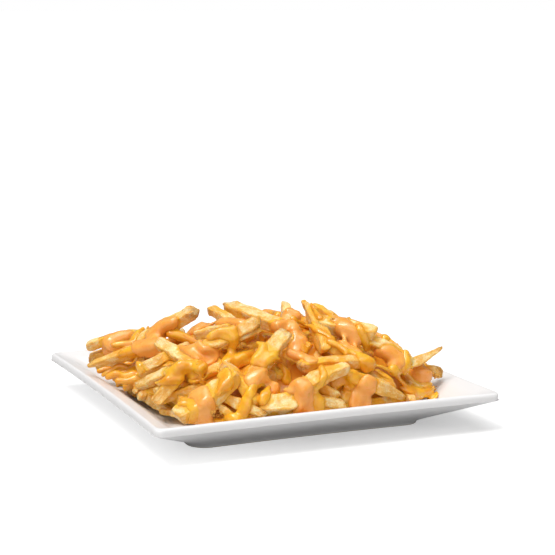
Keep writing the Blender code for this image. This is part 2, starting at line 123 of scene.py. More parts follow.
# Fries that the front of the heap shows: tip x, y, z, heading, rise, length, width, and then
# their looks: golden tone, brown of the tip, brown of the far end, cheese coat, tip taper
SHOWN_FRIES = (
    (-102, 67, 37, -12, 8, 52, 8.0, 0.25, 0.35, 0.0, 0.05, 0.85),
    (-99, 73, 28, -30, 8, 48, 7.5, 0.50, 0.90, 0.0, 0.15, 0.85),
    (-110, 38, 28, -40, 21, 60, 8.0, 0.60, 0.30, 0.0, 0.20, 0.35),
    (-93, -22, 40, 11, 17, 38, 8.0, 0.35, 0.30, 0.0, 0.15, 0.90),
    (-91, 0, 28, -60, 20, 45, 6.5, 0.60, 0.40, 0.0, 0.35, 0.70),
    (-77, -8, 53, -76, -10, 53, 8.5, 0.15, 0.35, 0.1, 0.05, 0.90),
    (-93, -16, 27, -58, 26, 44, 7.0, 0.35, 0.70, 0.0, 0.10, 0.90),
    (-92, -46, 21, 0, 54, 32, 10.0, 0.45, 0.35, 0.1, 0.10, 0.75),
    (-86, -36, 14, -60, 2, 24, 5.5, 0.30, 0.10, 0.0, 0.30, 0.80),
    (-87, -73, 18, -8, 36, 45, 11.0, 0.15, 0.20, 0.0, 0.10, 0.95),
    (-46, 4, 69, 146, -31, 45, 10.0, 0.30, 0.95, 0.0, 0.05, 0.80),
    (-74, 34, 49, -140, -35, 22, 8.0, 0.70, 0.00, 0.0, 0.80, 0.90),
    (-34, 10, 68, -78, -12, 44, 8.0, 0.45, 0.50, 0.0, 0.10, 0.80),
    (-23, 4, 70, -69, -7, 50, 10.0, 0.30, 0.90, 0.1, 0.05, 0.95),
    (-55, -17, 57, -30, 12, 40, 7.0, 0.45, 0.30, 0.0, 0.20, 0.90),
    (-22, -48, 70, 168, -22, 40, 8.5, 0.40, 0.60, 0.0, 0.10, 0.95),
    (-62, -33, 48, -19, 22, 46, 9.5, 0.35, 0.20, 0.0, 0.50, 0.95),
    (-10, -60, 62, -148, -32, 48, 10.5, 0.20, 0.95, 0.1, 0.10, 0.95),
    (-54, -63, 48, -64, -36, 36, 8.5, 0.40, 0.10, 0.0, 0.50, 0.90),
    (-39, -86, 26, -6, 2, 25, 12.0, 0.15, 0.30, 0.2, 0.10, 1.00),
    (-65, -73, 30, -55, -37, 24, 5.5, 0.30, 0.20, 0.0, 0.30, 0.70),
    (-61, -71, 32, -41, -22, 34, 8.0, 0.40, 0.20, 0.3, 0.30, 0.90),
    (-13, -64, 52, -40, -26, 30, 7.0, 0.40, 0.00, 0.2, 0.30, 0.90),
    (21, -87, 44, -172, -15, 38, 9.5, 0.20, 0.20, 0.0, 0.10, 0.80),
    (10, -12, 73, -107, -22, 46, 7.5, 0.15, 0.10, 0.0, 0.20, 0.60),
    (18, -25, 76, -95, -30, 50, 9.0, 0.85, 0.30, 0.0, 0.45, 0.35),
    (29, -14, 71, -80, -20, 48, 7.0, 0.60, 0.20, 0.0, 0.90, 0.70),
    (18, -44, 65, -35, -8, 40, 9.5, 0.20, 0.20, 0.0, 0.15, 0.90),
    (17, -60, 56, -40, -28, 28, 8.5, 0.20, 0.10, 0.0, 0.15, 0.85),
    (38, -58, 60, -18, -30, 44, 9.5, 0.15, 0.10, 0.0, 0.10, 0.90),
    (101, -62, 45, -163, -10, 48, 7.0, 0.50, 0.80, 0.0, 0.05, 0.40),
    (-9, -77, 45, -4, -1, 50, 8.0, 0.50, 1.00, 0.2, 0.30, 0.90),
    (4, -79, 31, 8, 10, 38, 9.5, 0.60, 0.00, 0.0, 1.00, 0.95),
    (61, -86, 21, 179, 25, 42, 10.0, 0.45, 0.30, 0.0, 0.10, 0.35),
    (17, -91, 22, 175, 10, 34, 7.0, 0.20, 0.20, 0.0, 0.15, 0.80),
    (14, -88, 26, 155, 25, 26, 7.0, 0.30, 0.20, 0.0, 0.20, 0.85),
    (57, -82, 26, 150, 25, 30, 7.0, 0.50, 0.20, 0.0, 0.60, 0.80),
    (102, -62, 25, 160, 8, 36, 8.0, 0.70, 0.90, 0.2, 0.10, 0.80),
    (90, -70, 21, 140, 10, 34, 6.5, 0.50, 0.30, 0.0, 0.30, 0.70),
)

# Fries laid by rule over the rest of the heap, as in the part, and how all fries vary
LOOSE_FRIES = 108
LOOSE_REACH = 0.93
LOOSE_LENGTH = (40.0, 68.0)
LOOSE_WIDTH = (6.5, 9.5)
LOOSE_LIFT = (-7.0, -2.0)
LOOSE_TILT = 0.10
PROBE = 10.0
UNDER_LIFT = -12.0
UNDER_RANGE = 24.0
GOLDEN_ANGLE = math.radians(137.508)
FRY_DEPTH = (0.82, 1.0)
FRY_TAPER = (0.72, 1.0)
FRY_ROLL = 0.6
FRY_BEND = 0.03
FRY_SWAY = 0.03
FRY_SKEW = 0.12
FRY_TWIST = 0.25
FRY_SLANT = 0.2
FRY_TONE = (0.1, 0.65)
FRY_BROWN = (0.1, 1.0)
BROWN_POWER = 1.6
FRY_COAT = (0.3, 0.35)
SEED_STEP = 0.731
EASE_STEPS = 90
ROOF_PULL = 0.3
TIP_CLEAR = 1.35
EASE_TOUCH = 0.84
SINK_STEP = 1.5
EASE_REACH = (98.0, 92.0)
SKIN_ROOM = -1.0
SHOWN_SIDE = (math.radians(-113.0), math.radians(25.0))

# Fries under those, seen through the gaps
HIDDEN_FRIES = 170
HIDDEN_START = 1.0
HIDDEN_LENGTH = (34.0, 54.0)
HIDDEN_SINK = (6.0, 15.0)
HIDDEN_TILT = 0.25
HIDDEN_CLEAR = 0.6
HIDDEN_ROOM = 6.0
HIDDEN_COAT = 0.45
HIDDEN_RIM = 0.68
RIM_TURN = 0.3
RIM_TILT = 0.4
RIM_STACK = 6.0
BARE_CORNER = (-73.0, 12.0)
BARE_FADE = 10.0
CORNER_SINK = 20.0
CORE_SINK = 12.0

# What each fry's point carries for the node tree, and the cuts along and across each group's fries
FRY_VECTORS = ("size", "axis", "side", "up", "ends", "bow", "slant", "crisp")
FRY_PIECES = {"fries_shown": (36, 10), "fries_loose": (24, 8), "fries_hidden": (16, 6)}

# How that tree shapes and browns a fry: lengths in metres, scales of noise per metre, and the
# middle range of noise that everything here uses
NOISE_RANGE = (0.3, 0.7)
LUMPS_ALONG = 70.0
LUMP_WIDTH = (0.96, 1.13)
LUMP_SCALE = 105.0
BLISTER_SCALE = 420.0
TIP_ROUND = (-0.001, 0.004, 0.8, 1.0)
TIP_EDGE = 0.003
BROWN_SCALE = 260.0
BROWN_WOBBLE = 0.006
BROWN_FADE = (0.002, 0.011)

# Scales of the finishes' noise per metre
GRAIN_SCALE = 900.0
CELL_SCALE = 700.0
SPECK_SCALE = 520.0
PATCH_SCALE = 95.0
STREAK_SCALE = 420.0
DRIFT_SCALE = 110.0
RIPPLE_SCALE = 260.0
FILM_SCALE = 150.0
CHEESE_SCALE = 180.0
MOTTLE_SCALE = 38.0
GLAZE_SCALE = 60.0
WAVE_SCALE = 28.0
FLOOR_SCALE = 3.0

# Cheese sauce at the front: width and thickness in millimetres, the bead that spans gaps as a
# share of the width, and the photo's pixels that the middle of the ribbon passes. A ribbon of no
# thickness coats nothing and hangs free from its nearest support.
SAUCE_AT = (
    (10.5, 3.0, 0.42, ((129, 336), (120, 337), (114, 342), (110, 347))),
    (15.0, 0.0, 1.00, ((127, 337), (120, 339), (113, 342))),
    (15.0, 3.6, 0.40, ((139, 346), (146, 347), (153, 350))),
    (12.0, 3.4, 0.42, ((171, 322), (162, 325), (157, 330), (155, 336))),
    (16.0, 3.4, 0.36, ((188, 347), (196, 350), (203, 358))),
    (9.0, 3.2, 0.42, ((198, 329), (212, 324), (222, 320), (232, 320), (240, 323))),
    (13.0, 3.6, 0.42, ((194, 392), (201, 394), (205, 402), (205, 412), (203, 421))),
    (12.5, 3.0, 0.36, ((250, 380), (258, 376), (266, 378), (270, 384))),
    (12.0, 3.4, 0.42, ((279, 327), (288, 325), (296, 328), (298, 337), (297, 349))),
    (8.0, 1.6, 0.25, ((291, 352), (301, 355), (310, 359))),
    (10.0, 2.8, 0.36, ((285, 320), (289, 314), (292, 310))),
    (9.0, 0.0, 0.95, ((288, 312), (292, 314), (296, 316))),
    (14.0, 3.6, 0.40, ((293, 385), (302, 385), (304, 396), (303, 411))),
    (9.5, 3.0, 0.40, ((336, 320), (345, 322), (351, 333), (355, 346), (357, 352))),
    (8.5, 2.6, 0.36, ((340, 323), (343, 334), (347, 347))),
    (13.0, 3.8, 0.42, ((380, 353), (388, 355), (394, 361))),
    (14.0, 0.0, 1.25, ((418, 370), (421, 376))),
    (11.0, 0.0, 1.05, ((392, 358), (396, 363))),
    (11.0, 3.2, 0.40, ((368, 381), (361, 390), (356, 402))),
    (9.5, 2.8, 0.40, ((372, 382), (367, 392), (364, 405))),
)

# Melted cheddar at the front, in the same way
CHEDDAR_AT = (
    (10.5, 2.6, 0.60, ((211, 335), (219, 332), (229, 332))),
    (7.5, 2.8, 0.45, ((229, 333), (234, 338), (233, 348), (229, 360))),
    (10.6, 3.4, 0.25, ((235, 365), (243, 359), (254, 357))),
    (9.0, 2.5, 0.60, ((258, 343), (262, 346), (260, 353), (256, 358))),
    (9.4, 1.7, 0.25, ((262, 362), (271, 356), (279, 359))),
    (6.9, 2.8, 0.45, ((262, 384), (255, 386), (249, 396), (246, 406), (241, 416))),
    (6.2, 2.3, 0.45, ((269, 387), (266, 392), (263, 401))),
    (10.0, 2.1, 0.25, ((166, 371), (178, 368), (192, 365), (201, 366))),
    (7.5, 1.7, 0.45, ((156, 383), (168, 380), (180, 379))),
    (9.4, 2.3, 0.25, ((203, 380), (212, 372), (223, 373), (226, 384))),
    (6.0, 1.9, 0.60, ((186, 373), (192, 376), (198, 375))),
    (7.5, 0.0, 0.85, ((99, 371), (107, 369), (115, 370), (124, 365), (132, 363))),
    (6.5, 0.0, 0.85, ((103, 375), (111, 371), (119, 366), (127, 368), (134, 366))),
    (9.0, 0.0, 0.85, ((108, 377), (116, 375), (124, 377), (133, 374))),
    (6.5, 0.0, 0.85, ((114, 379), (121, 373), (127, 372), (134, 370))),
    (9.0, 0.0, 0.80, ((118, 381), (126, 381), (134, 379))),
    (9.0, 0.0, 0.70, ((113, 345), (121, 345), (130, 344))),
    (7.5, 1.7, 0.45, ((121, 354), (127, 351), (133, 349))),
    (6.2, 2.7, 0.45, ((137, 362), (140, 369))),
    (7.5, 2.3, 0.45, ((134, 342), (137, 334), (143, 329))),
    (11.0, 0.0, 0.80, ((170, 334), (178, 335), (187, 339), (195, 343))),
    (6.2, 1.9, 0.45, ((203, 422), (218, 421), (232, 419), (244, 417))),
    (8.8, 1.9, 0.25, ((181, 402), (190, 403), (197, 410), (197, 420))),
    (6.2, 1.7, 0.45, ((222, 383), (219, 393))),
    (4.6, 1.5, 0.45, ((311, 303), (316, 311), (320, 318))),
    (6.9, 2.3, 0.45, ((290, 315), (296, 320), (304, 324))),
    (5.0, 1.7, 0.45, ((304, 324), (313, 328), (323, 333), (332, 338))),
    (5.0, 1.7, 0.45, ((300, 344), (304, 351))),
    (6.0, 1.5, 0.35, ((330, 342), (338, 345), (346, 351))),
    (10.6, 2.1, 0.25, ((354, 353), (363, 357), (370, 365))),
    (6.2, 1.9, 0.45, ((359, 326), (363, 338), (366, 350))),
    (5.6, 1.5, 0.45, ((321, 366), (324, 376), (320, 386))),
    (6.0, 1.9, 0.50, ((281, 366), (286, 373), (286, 381))),
    (8.1, 1.9, 0.45, ((313, 390), (318, 399), (317, 409))),
    (11.2, 1.7, 0.25, ((372, 364), (382, 367), (390, 371))),
    (9.4, 3.0, 0.40, ((394, 369), (400, 380), (409, 388), (420, 394), (433, 396))),
    (6.9, 2.3, 0.45, ((406, 353), (407, 362), (404, 373))),
    (5.6, 1.7, 0.45, ((372, 383), (368, 396))),
    (10.6, 1.3, 0.25, ((336, 382), (347, 376), (352, 386))),
)

# Sauce and cheddar laid by rule over the rest of the heap: count, first angle and span in degrees,
# lengths, widths, thickness and bead
LOOSE_SAUCE = (12, 5, 170, (22.0, 36.0), (9.0, 12.0), 4.0, 0.55)
LOOSE_CHEDDAR = (44, -20, 220, (14.0, 34.0), (5.0, 11.0), (1.2, 2.4), 0.35)
RING_SHARES = (0.30, 0.58, 0.84)
STREWN_TURN = 0.9
STREWN_BOW = 0.15
STREWN_STEPS = 30

# Cells of the air that holds the cheese, in millimetres, and how cheese behaves there. Waves are
# a height and a wavelength. A film is its strongest share and the distance over which it fades.
CELL = 0.75
AIR_LOW = (-118.0, -106.0, 8.0)
AIR_HIGH = (116.0, 106.0, 88.0)
FAR = 6.0
CREASE = 1.3
CHEESE_JOIN = 1.6
CHEESE_FLAT = 0.75
RIBBON_START = 0.78
RIBBON_GROWTH = 0.34
RIBBON_WAVES = (0.17, 13.0)
WAVE_COUNT = 4
WAVE_SPREAD = (0.7, 1.5)
WAVE_HEIGHT = 2.5
PATH_STEPS = 8
DIVE = 0.9
FRY_ROUND = 1.6
FRY_FILL = 1.01
MELT_REACH = 4
MELT_ROUNDS = 3
MELT_RISE = -1.1
MELT_WAVES = (0.6, 40.0)
MELT_UNDERCUT = 4.5
MELT_FOOT = 7.0
MELT_COARSE = 2
CLEAR_OF_SHOWN = 9.0
PLATE_FILM = 0.15
FILM = (0.95, 1.8)
# Film on the fries near the soaked core: partly cheese soaking in, partly painted shade deep in the gaps
SOAK = (0.9, 1.6)
COAT_FILM = 0.75
# Height over the heap, in millimetres, that counts as the cheese's full height; lower, thinner cheese gets
# its deep colour, partly thin-layer colour and partly painted shade
THICK_AT = 2.5

# Floor: where its painted glow, which lightens the plate's shadow on the floor, fades from left to right,
# in metres, and how much more it has on the left
GLOW_FADE = (-0.16, 0.02)
LEFT_GLOW = 0.32

# Crispy crumbs: middle pixel in the photo, spread in pixels and count. Their sizes are in
# millimetres, and their crags in metres.
CRUMBS_AT = (
    (216, 413, 4.5, 26),
    (437, 381, 7.0, 40),
    (246, 346, 4.0, 6),
    (334, 318, 4.0, 3),
)
CRUMB_SIZE = (0.5, 1.5)
CRUMB_STRETCH = (0.6, 1.2)
CRUMB_REACH = 0.95
CRUMB_DROP = 120.0
CRUMB_TURN = 6.28
CRUMB_CRAGS = 0.35
CRAG_SCALE = 700.0
CRAG_HEIGHT = 0.004

# Studio: half the floor's side, and the angle, turn, tilt and colour of each light
FLOOR_REACH = 60000.0
LIGHTS = {
    "key": (26.0, -70.0, 25.0, (1.0, 0.985, 0.96)),
    "top": (50.0, 20.0, 6.0, (1.0, 1.0, 1.0)),
    "front": (50.0, -25.0, 60.0, (1.0, 0.99, 0.97)),
}


# Node trees


class Wire:
    """A node's output, which takes part in sums as a number or a vector does."""

    def __init__(self, graph, socket):
        self.graph, self.socket = graph, socket

    def __add__(self, other):
        return self.graph.combine("ADD", self, other)

    def __radd__(self, other):
        return self.graph.combine("ADD", other, self)

    def __sub__(self, other):
        return self.graph.combine("SUBTRACT", self, other)

    def __rsub__(self, other):
        return self.graph.combine("SUBTRACT", other, self)

    def __mul__(self, other):
        return self.graph.combine("MULTIPLY", self, other)

    def __pow__(self, power):
        return self.graph.math("POWER", self, power)

    def __abs__(self):
        return self.graph.math("ABSOLUTE", self)

    def clamped(self):
        """The same Math node's result, held between 0 and 1."""
        self.socket.node.use_clamp = True
        return self


def is_vector(value):
    """Whether a wire or a plain value has three parts."""
    if isinstance(value, Wire):
        return value.socket.type in ("VECTOR", "RGBA")
    return isinstance(value, tuple)


class Graph:
    """A node tree with short calls that add a node and set or link its inputs."""

    def __init__(self, tree):
        self.tree = tree

    def node(self, kind, inputs=None, **settings):
        """Add a node with its settings, and set or link the named inputs."""
        made = self.tree.nodes.new(kind)
        for name, value in settings.items():
            setattr(made, name, value)
        for key, value in (inputs or {}).items():
            self.plug(made.inputs[key], value)
        return made

    def wire(self, kind, inputs=None, output=0, **settings):
        """Add a node and take one of its outputs."""
        return Wire(self, self.node(kind, inputs, **settings).outputs[output])

    def plug(self, socket, value):
        """Link an output to a socket, or set the socket's own value."""
        if isinstance(value, Wire):
            self.tree.links.new(value.socket, socket)
        elif socket.type == "RGBA":
            socket.default_value = (*tuple(value)[:3], 1.0)
        else:
            socket.default_value = value

    def math(self, operation, *values):
        """A Math node's result."""
        return self.wire("ShaderNodeMath", dict(enumerate(values)), operation=operation)

    def vector(self, operation, first, second=None):
        """A Vector Math node's vector result, of two vectors or of a vector and a scale."""
        inputs = {0: first}
        if second is not None:
            inputs["Scale" if operation == "SCALE" else 1] = second
        return self.wire("ShaderNodeVectorMath", inputs, operation=operation)

    def combine(self, operation, first, second):
        """A sum, difference or product of numbers or of vectors, or a vector scaled by a number."""
        vectors = is_vector(first) + is_vector(second)
        if not vectors:
            return self.math(operation, first, second)
        return self.vector(operation if vectors == 2 else "SCALE", first, second)

    def split(self, value):
        """The x, y and z of a vector."""
        return [Wire(self, part) for part in self.node("ShaderNodeSeparateXYZ", {0: value}).outputs]

    def join(self, x, y, z):
        """A vector from x, y and z."""
        return self.wire("ShaderNodeCombineXYZ", {0: x, 1: y, 2: z})

    def ramp(self, value, low, high, to_low=0.0, to_high=1.0):
        """A value brought smoothly from one range to another."""
        inputs = {"Value": value, "From Min": low, "From Max": high, "To Min": to_low, "To Max": to_high}
        return self.wire("ShaderNodeMapRange", inputs, interpolation_type="SMOOTHSTEP")

    def noise(self, where, scale, detail=2.0, roughness=0.5, output=0):
        """A Noise Texture's value at a place."""
        inputs = {"Vector": where, "Scale": scale, "Detail": detail, "Roughness": roughness}
        return self.wire("ShaderNodeTexNoise", inputs, output)

    def jitter(self, where, scale):
        """A Noise Texture's colour at a place, as a vector round zero."""
        return self.noise(where, scale, output="Color") - (0.5, 0.5, 0.5)

    def blend(self, factor, first, second):
        """A mix of two colours."""
        return self.wire("ShaderNodeMix", {0: factor, 6: first, 7: second}, 2, data_type="RGBA")

    def attribute(self, name, output):
        """A named value that the mesh carries."""
        return self.wire("ShaderNodeAttribute", None, output, attribute_name=name)

    def group(self, maker, inputs):
        """A shared group, built the first time that a material asks for it, as its outputs by name."""
        tree = bpy.data.node_groups.get(maker.__name__) or maker()
        made = self.node("ShaderNodeGroup", inputs, node_tree=tree)
        return {socket.name: Wire(self, socket) for socket in made.outputs}


def start_tree(name, kind, inputs, outputs):
    """A node tree with its named inputs, as kind and default, and its named outputs."""
    tree = bpy.data.node_groups.new(name, kind)
    for key, (socket_type, default) in inputs.items():
        socket = tree.interface.new_socket(key, in_out="INPUT", socket_type=socket_type)
        if default is not None:
            socket.default_value = default
    for key, socket_type in outputs.items():
        tree.interface.new_socket(key, in_out="OUTPUT", socket_type=socket_type)
    g = Graph(tree)
    return g, {socket.name: Wire(g, socket) for socket in g.node("NodeGroupInput").outputs}


def start_geometry(name, numbers):
    """A Geometry Nodes tree that takes points, whole numbers, lengths and shares, and a finish."""
    kinds = {int: "NodeSocketInt", float: "NodeSocketFloat"}
    inputs = {"Geometry": ("NodeSocketGeometry", None)}
    inputs.update({key: (kinds[type(value)], value) for key, value in numbers.items()})
    inputs["Finish"] = ("NodeSocketMaterial", None)
    return start_tree(name, "GeometryNodeTree", inputs, {"Geometry": "NodeSocketGeometry"})


def end_geometry(g, shaped, finish):
    """Smooth the shaped pieces, make them real, give them their finish and close the tree."""
    smooth = g.wire("GeometryNodeSetShadeSmooth", {"Geometry": shaped})
    whole = g.wire("GeometryNodeRealizeInstances", {0: smooth})
    painted = g.wire("GeometryNodeSetMaterial", {"Geometry": whole, "Material": finish})
    g.node("NodeGroupOutput", {"Geometry": painted})
    return g.tree


def applied(obj):
    """Put the result of an object's modifiers into its mesh, and remove them."""
    bpy.context.view_layer.update()
    graph = bpy.context.evaluated_depsgraph_get()
    mesh = bpy.data.meshes.new_from_object(obj.evaluated_get(graph))
    obj.modifiers.clear()
    obj.data = mesh
    return obj


def run_nodes(obj, tree, values):
    """Set a tree's named inputs on an object, run it and keep the result as a plain mesh."""
    modifier = obj.modifiers.new(tree.name, "NODES")
    modifier.node_group = tree
    for item in tree.interface.items_tree:
        if item.in_out == "INPUT" and item.name in values:
            modifier[item.identifier] = values[item.name]
    return applied(obj)


# Shared shader groups


def fried_skin():
    """Fine blisters and specks of fried potato, as a height and a speck mask."""
    inputs = {"Vector": ("NodeSocketVector", None), "Size": ("NodeSocketFloat", 1.0),
              "Crispness": ("NodeSocketFloat", 0.3)}
    outputs = {"Height": "NodeSocketFloat", "Specks": "NodeSocketFloat"}
    g, given = start_tree("fried_skin", "ShaderNodeTree", inputs, outputs)
    place = given["Vector"] * g.math("DIVIDE", 1.0, given["Size"])
    cells = g.wire("ShaderNodeTexVoronoi", {"Vector": place, "Scale": CELL_SCALE}, "Distance")
    blister = g.ramp(cells, 0.0, 0.55, 1.0, 0.0)
    height = g.noise(place, GRAIN_SCALE, 3.0, 0.6) * 0.35 + blister * given["Crispness"]
    specks = g.ramp(g.noise(place, SPECK_SCALE, 4.0, 0.7), 0.52, 0.68)
    g.node("NodeGroupOutput", {"Height": height, "Specks": specks})
    return g.tree


def runny_film():
    """Slow colour drift and fine ripples of a melted film, as two colours' mix and a height."""
    inputs = {"Vector": ("NodeSocketVector", None), "Drift": ("NodeSocketFloat", 1.0)}
    inputs.update({name: ("NodeSocketColor", (0.8, 0.4, 0.1, 1.0)) for name in ("Light", "Deep")})
    outputs = {"Color": "NodeSocketColor", "Height": "NodeSocketFloat"}
    g, given = start_tree("runny_film", "ShaderNodeTree", inputs, outputs)
    amount = g.ramp(g.noise(given["Vector"], DRIFT_SCALE), 0.38, 0.66) * given["Drift"]
    ripple = g.noise(given["Vector"], RIPPLE_SCALE, 2.0, 0.4)
    g.node("NodeGroupOutput", {"Color": g.blend(amount, given["Light"], given["Deep"]), "Height": ripple})
    return g.tree


# Materials


class Finish(Graph):
    """A material's tree: the Principled shader with its constant values, and the piece's own place."""

    def __init__(self, name, **inputs):
        self.material = bpy.data.materials.new(name)
        self.material.use_nodes = True
        super().__init__(self.material.node_tree)
        self.shader = self.tree.nodes["Principled BSDF"]
        for key, value in inputs.items():
            self.shader.inputs[key.replace("_", " ")].default_value = value
        self.place = self.wire("ShaderNodeTexCoord", output="Object")

    def use(self, **values):
        """Link results to the shader's inputs."""
        for key, value in values.items():
            self.plug(self.shader.inputs[key.replace("_", " ")], value)

    def bump(self, height, strength, distance):
        """A height as a normal, for the shader."""
        return self.wire("ShaderNodeBump", {"Height": height, "Strength": strength, "Distance": distance})


def dimmed(colour, share):
    """A colour at a share of its brightness."""
    return tuple(share * part for part in colour)


def glaze_material(settings):
    """White stoneware glaze, worn bare where the foot stands."""
    g = Finish("white_glaze", IOR=1.5)
    bare = g.ramp(g.split(g.place)[2], *BARE_CLAY, 1.0, 0.0)
    mottle = g.ramp(g.noise(g.place, MOTTLE_SCALE, 3.0), 0.35, 0.7, 0.0, 0.35)
    glaze = g.blend(mottle, settings.glaze, dimmed(settings.glaze, 0.96))
    gloss = g.ramp(g.noise(g.place, GLAZE_SCALE), *NOISE_RANGE, 0.29, 0.36)
    waves = g.noise(g.place, WAVE_SCALE, 1.0, 0.4)
    g.use(Base_Color=g.blend(bare, glaze, settings.clay), Roughness=g.math("MAXIMUM", gloss, bare * 0.8),
          Normal=g.bump(waves, 0.1, 0.0003))
    return g.material


def fry_material(settings, cheese):
    """Fried potato: pale faces, golden edges, brown crisp ends, and a film of cheese on some."""
    g = Finish("golden_fries", IOR=1.4, Specular_IOR_Level=0.35, Subsurface_Weight=0.4,
               Subsurface_Radius=(1.0, 0.6, 0.2), Subsurface_Scale=0.003)
    tone, edge, brown, film = [g.attribute(name, "Fac") for name in ("tone", "edge", "brown", "film")]
    grain = g.attribute("grain", "Vector")
    streaks = g.noise(grain * (0.4, 1.0, 1.0), STREAK_SCALE, 4.0, 0.65)
    crispness = g.ramp(brown, 0.0, 1.0, 0.35, 1.2)
    skin = g.group(fried_skin, {"Vector": grain, "Size": 1.0, "Crispness": crispness})
    golden = tone * 0.8 + edge * 0.6 + g.ramp(g.noise(grain, PATCH_SCALE), *NOISE_RANGE, -0.3, 0.3)
    golden = golden + g.ramp(skin["Height"], 0.15, 0.5, 0.28, -0.22)
    golden = (golden + g.ramp(streaks, *NOISE_RANGE, -0.35, 0.45)).clamped()
    colour = g.blend(golden, settings.pale, settings.golden)
    fried = edge * 0.1 + g.ramp(golden, 0.75, 1.0, 0.0, 0.15)
    crisp = ((brown + fried) * g.ramp(skin["Specks"], 0.0, 1.0, 0.5, 1.0)).clamped()
    colour = g.blend(crisp, colour, settings.brown)
    # Cheese film on the fries; near the soaked core it is partly painted shade deep in the gaps
    broken = film + g.ramp(g.noise(g.place, FILM_SCALE, 3.0), *NOISE_RANGE, -0.3, 0.25)
    coated = g.ramp(broken, 0.15, 0.75)
    melt = g.group(runny_film, {"Vector": g.place, "Light": cheese.cheddar, "Deep": cheese.deep})
    height = skin["Height"] * g.ramp(coated, 0.0, 1.0, 1.0, 0.35)
    oily = g.ramp(streaks, 0.35, 0.7, 0.34, 0.5) - coated * 0.2
    g.use(Base_Color=g.blend(coated * 0.85, colour, melt["Color"]), Roughness=oily,
          Normal=g.bump(height, 0.75, 0.0009))
    return g.material


def cheese_material(name, light, deep, drift, roughness, scatter):
    """Glossy cheese, sauce or cheddar, with a slow drift between its light and deep colours, and its deep
    colour where it lies low and thin on the fries: partly thin-layer colour, partly painted shade.
    """
    g = Finish(name, IOR=1.42, Subsurface_Weight=0.35, Subsurface_Radius=(1.0, 0.45, 0.12),
               Subsurface_Scale=scatter, Coat_Weight=0.6, Coat_Roughness=0.1)
    melt = g.group(runny_film, {"Vector": g.place, "Light": light, "Deep": deep, "Drift": drift})
    # Painted shade, partly thin-layer colour: the deep colour where the cheese lies low and thin over the
    # fries
    thick = g.ramp(g.attribute("thick", "Fac"), 0.0, 0.4, 0.45, 1.0)
    gloss = g.ramp(g.noise(g.place, CHEESE_SCALE), 0.35, 0.65, roughness, roughness + 0.12)
    g.use(Base_Color=g.blend(thick, deep, melt["Color"]), Roughness=gloss,
          Normal=g.bump(melt["Height"], 0.25, 0.0008))
    return g.material


def crumb_material(settings):
    """Crisp batter crumbs: golden with browner crests."""
    g = Finish("crisp_crumbs", IOR=1.45)
    skin = g.group(fried_skin, {"Vector": g.place, "Size": 0.8, "Crispness": 1.0})
    g.use(Base_Color=g.blend(skin["Specks"], settings.golden, settings.brown),
          Roughness=g.ramp(skin["Specks"], 0.0, 1.0, 0.35, 0.5), Normal=g.bump(skin["Height"], 0.6, 0.0005))
    return g.material


def floor_material(colour, glow):
    """Pale studio floor with the faintest tooth, brighter in the picture than it lights the plate: a
    painted glow that the camera alone sees, stronger on the left, lightens the plate's shadow on the floor.
    """
    g = Finish("studio_floor", Roughness=0.9, Emission_Color=(1.0, 1.0, 1.0, 1.0))
    seen = g.wire("ShaderNodeLightPath", output="Is Camera Ray")
    # Painted glow for the camera alone, stronger on the left, that lightens the plate's shadow on the floor
    here = g.ramp(g.split(g.place)[0], *GLOW_FADE, glow + LEFT_GLOW, glow)
    cloud = g.ramp(g.noise(g.place, FLOOR_SCALE), *NOISE_RANGE, 0.0, 0.02)
    g.use(Base_Color=g.blend(cloud, colour, dimmed(colour, 0.97)), Emission_Strength=seen * here)
    return g.material


# Meshes


def new_piece(name, points, faces, material=None):
    """A mesh object from points in millimetres."""
    mesh = bpy.data.meshes.new(name)
    mesh.from_pydata((np.asarray(points) * MM).tolist(), [], [tuple(face) for face in faces])
    obj = bpy.data.objects.new(name, mesh)
    bpy.context.scene.collection.objects.link(obj)
    if material is not None:
        mesh.materials.append(material)
    mesh.shade_smooth()
    return obj


def take_frame(piece, slot, *nodes):
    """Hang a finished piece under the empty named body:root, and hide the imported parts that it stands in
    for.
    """
    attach(piece, "root")
    if nodes:
        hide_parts(*nodes)


def points_of(obj):
    """An object's points in millimetres."""
    flat = np.empty(len(obj.data.vertices) * 3, np.float32)
    obj.data.vertices.foreach_get("co", flat)
    return flat.reshape(-1, 3).astype(float) / MM


def need(name):
    """An earlier piece, which has to be there."""
    if name not in bpy.data.objects:
        raise RuntimeError(f"make {name} first")
    return bpy.data.objects[name]


# Plate


def inside_profile():
    """Half size and height along the upper face, from the well to the top of the lip."""
    slope, climb = FLANGE_HALF - WELL_HALF, FLANGE_LEVEL - WELL_LEVEL
    return (
        (WELL_HALF - WELL_FLAT, WELL_LEVEL),
        *((WELL_HALF + out * slope, WELL_LEVEL + up * climb) for out, up in SLOPE_SHAPE),
        *((FLANGE_HALF + out, FLANGE_LEVEL + up) for out, up in FLANGE_SHAPE),
        *((PLATE_HALF + out, PLATE_HEIGHT + up) for out, up in LIP_TOP_SHAPE),
    )


def plate_rings():
    """Half size, height and corner radius of each ring, from the upper face to below."""
    inner = [(half, z, np.interp(half, (WELL_HALF, FLANGE_HALF), (WELL_CORNER, LIP_CORNER)))
             for half, z in inside_profile()]
    side = [(PLATE_HALF + out, PLATE_HEIGHT - share * LIP_THICKNESS + up, LIP_CORNER)
            for out, share, up in LIP_SIDE_SHAPE]
    foot = [(FOOT_HALF + out, up, FOOT_CORNER) for out, up in FOOT_SHAPE]
    inside = FOOT_HALF - FOOT_WIDTH
    foot += [(inside, 0.0, FOOT_CORNER), (inside - FOOT_DRAFT, FOOT_RECESS, FOOT_CORNER)]
    return inner + side + [(RIDGE_HALF, RIDGE_LEVEL, WELL_CORNER)] + foot


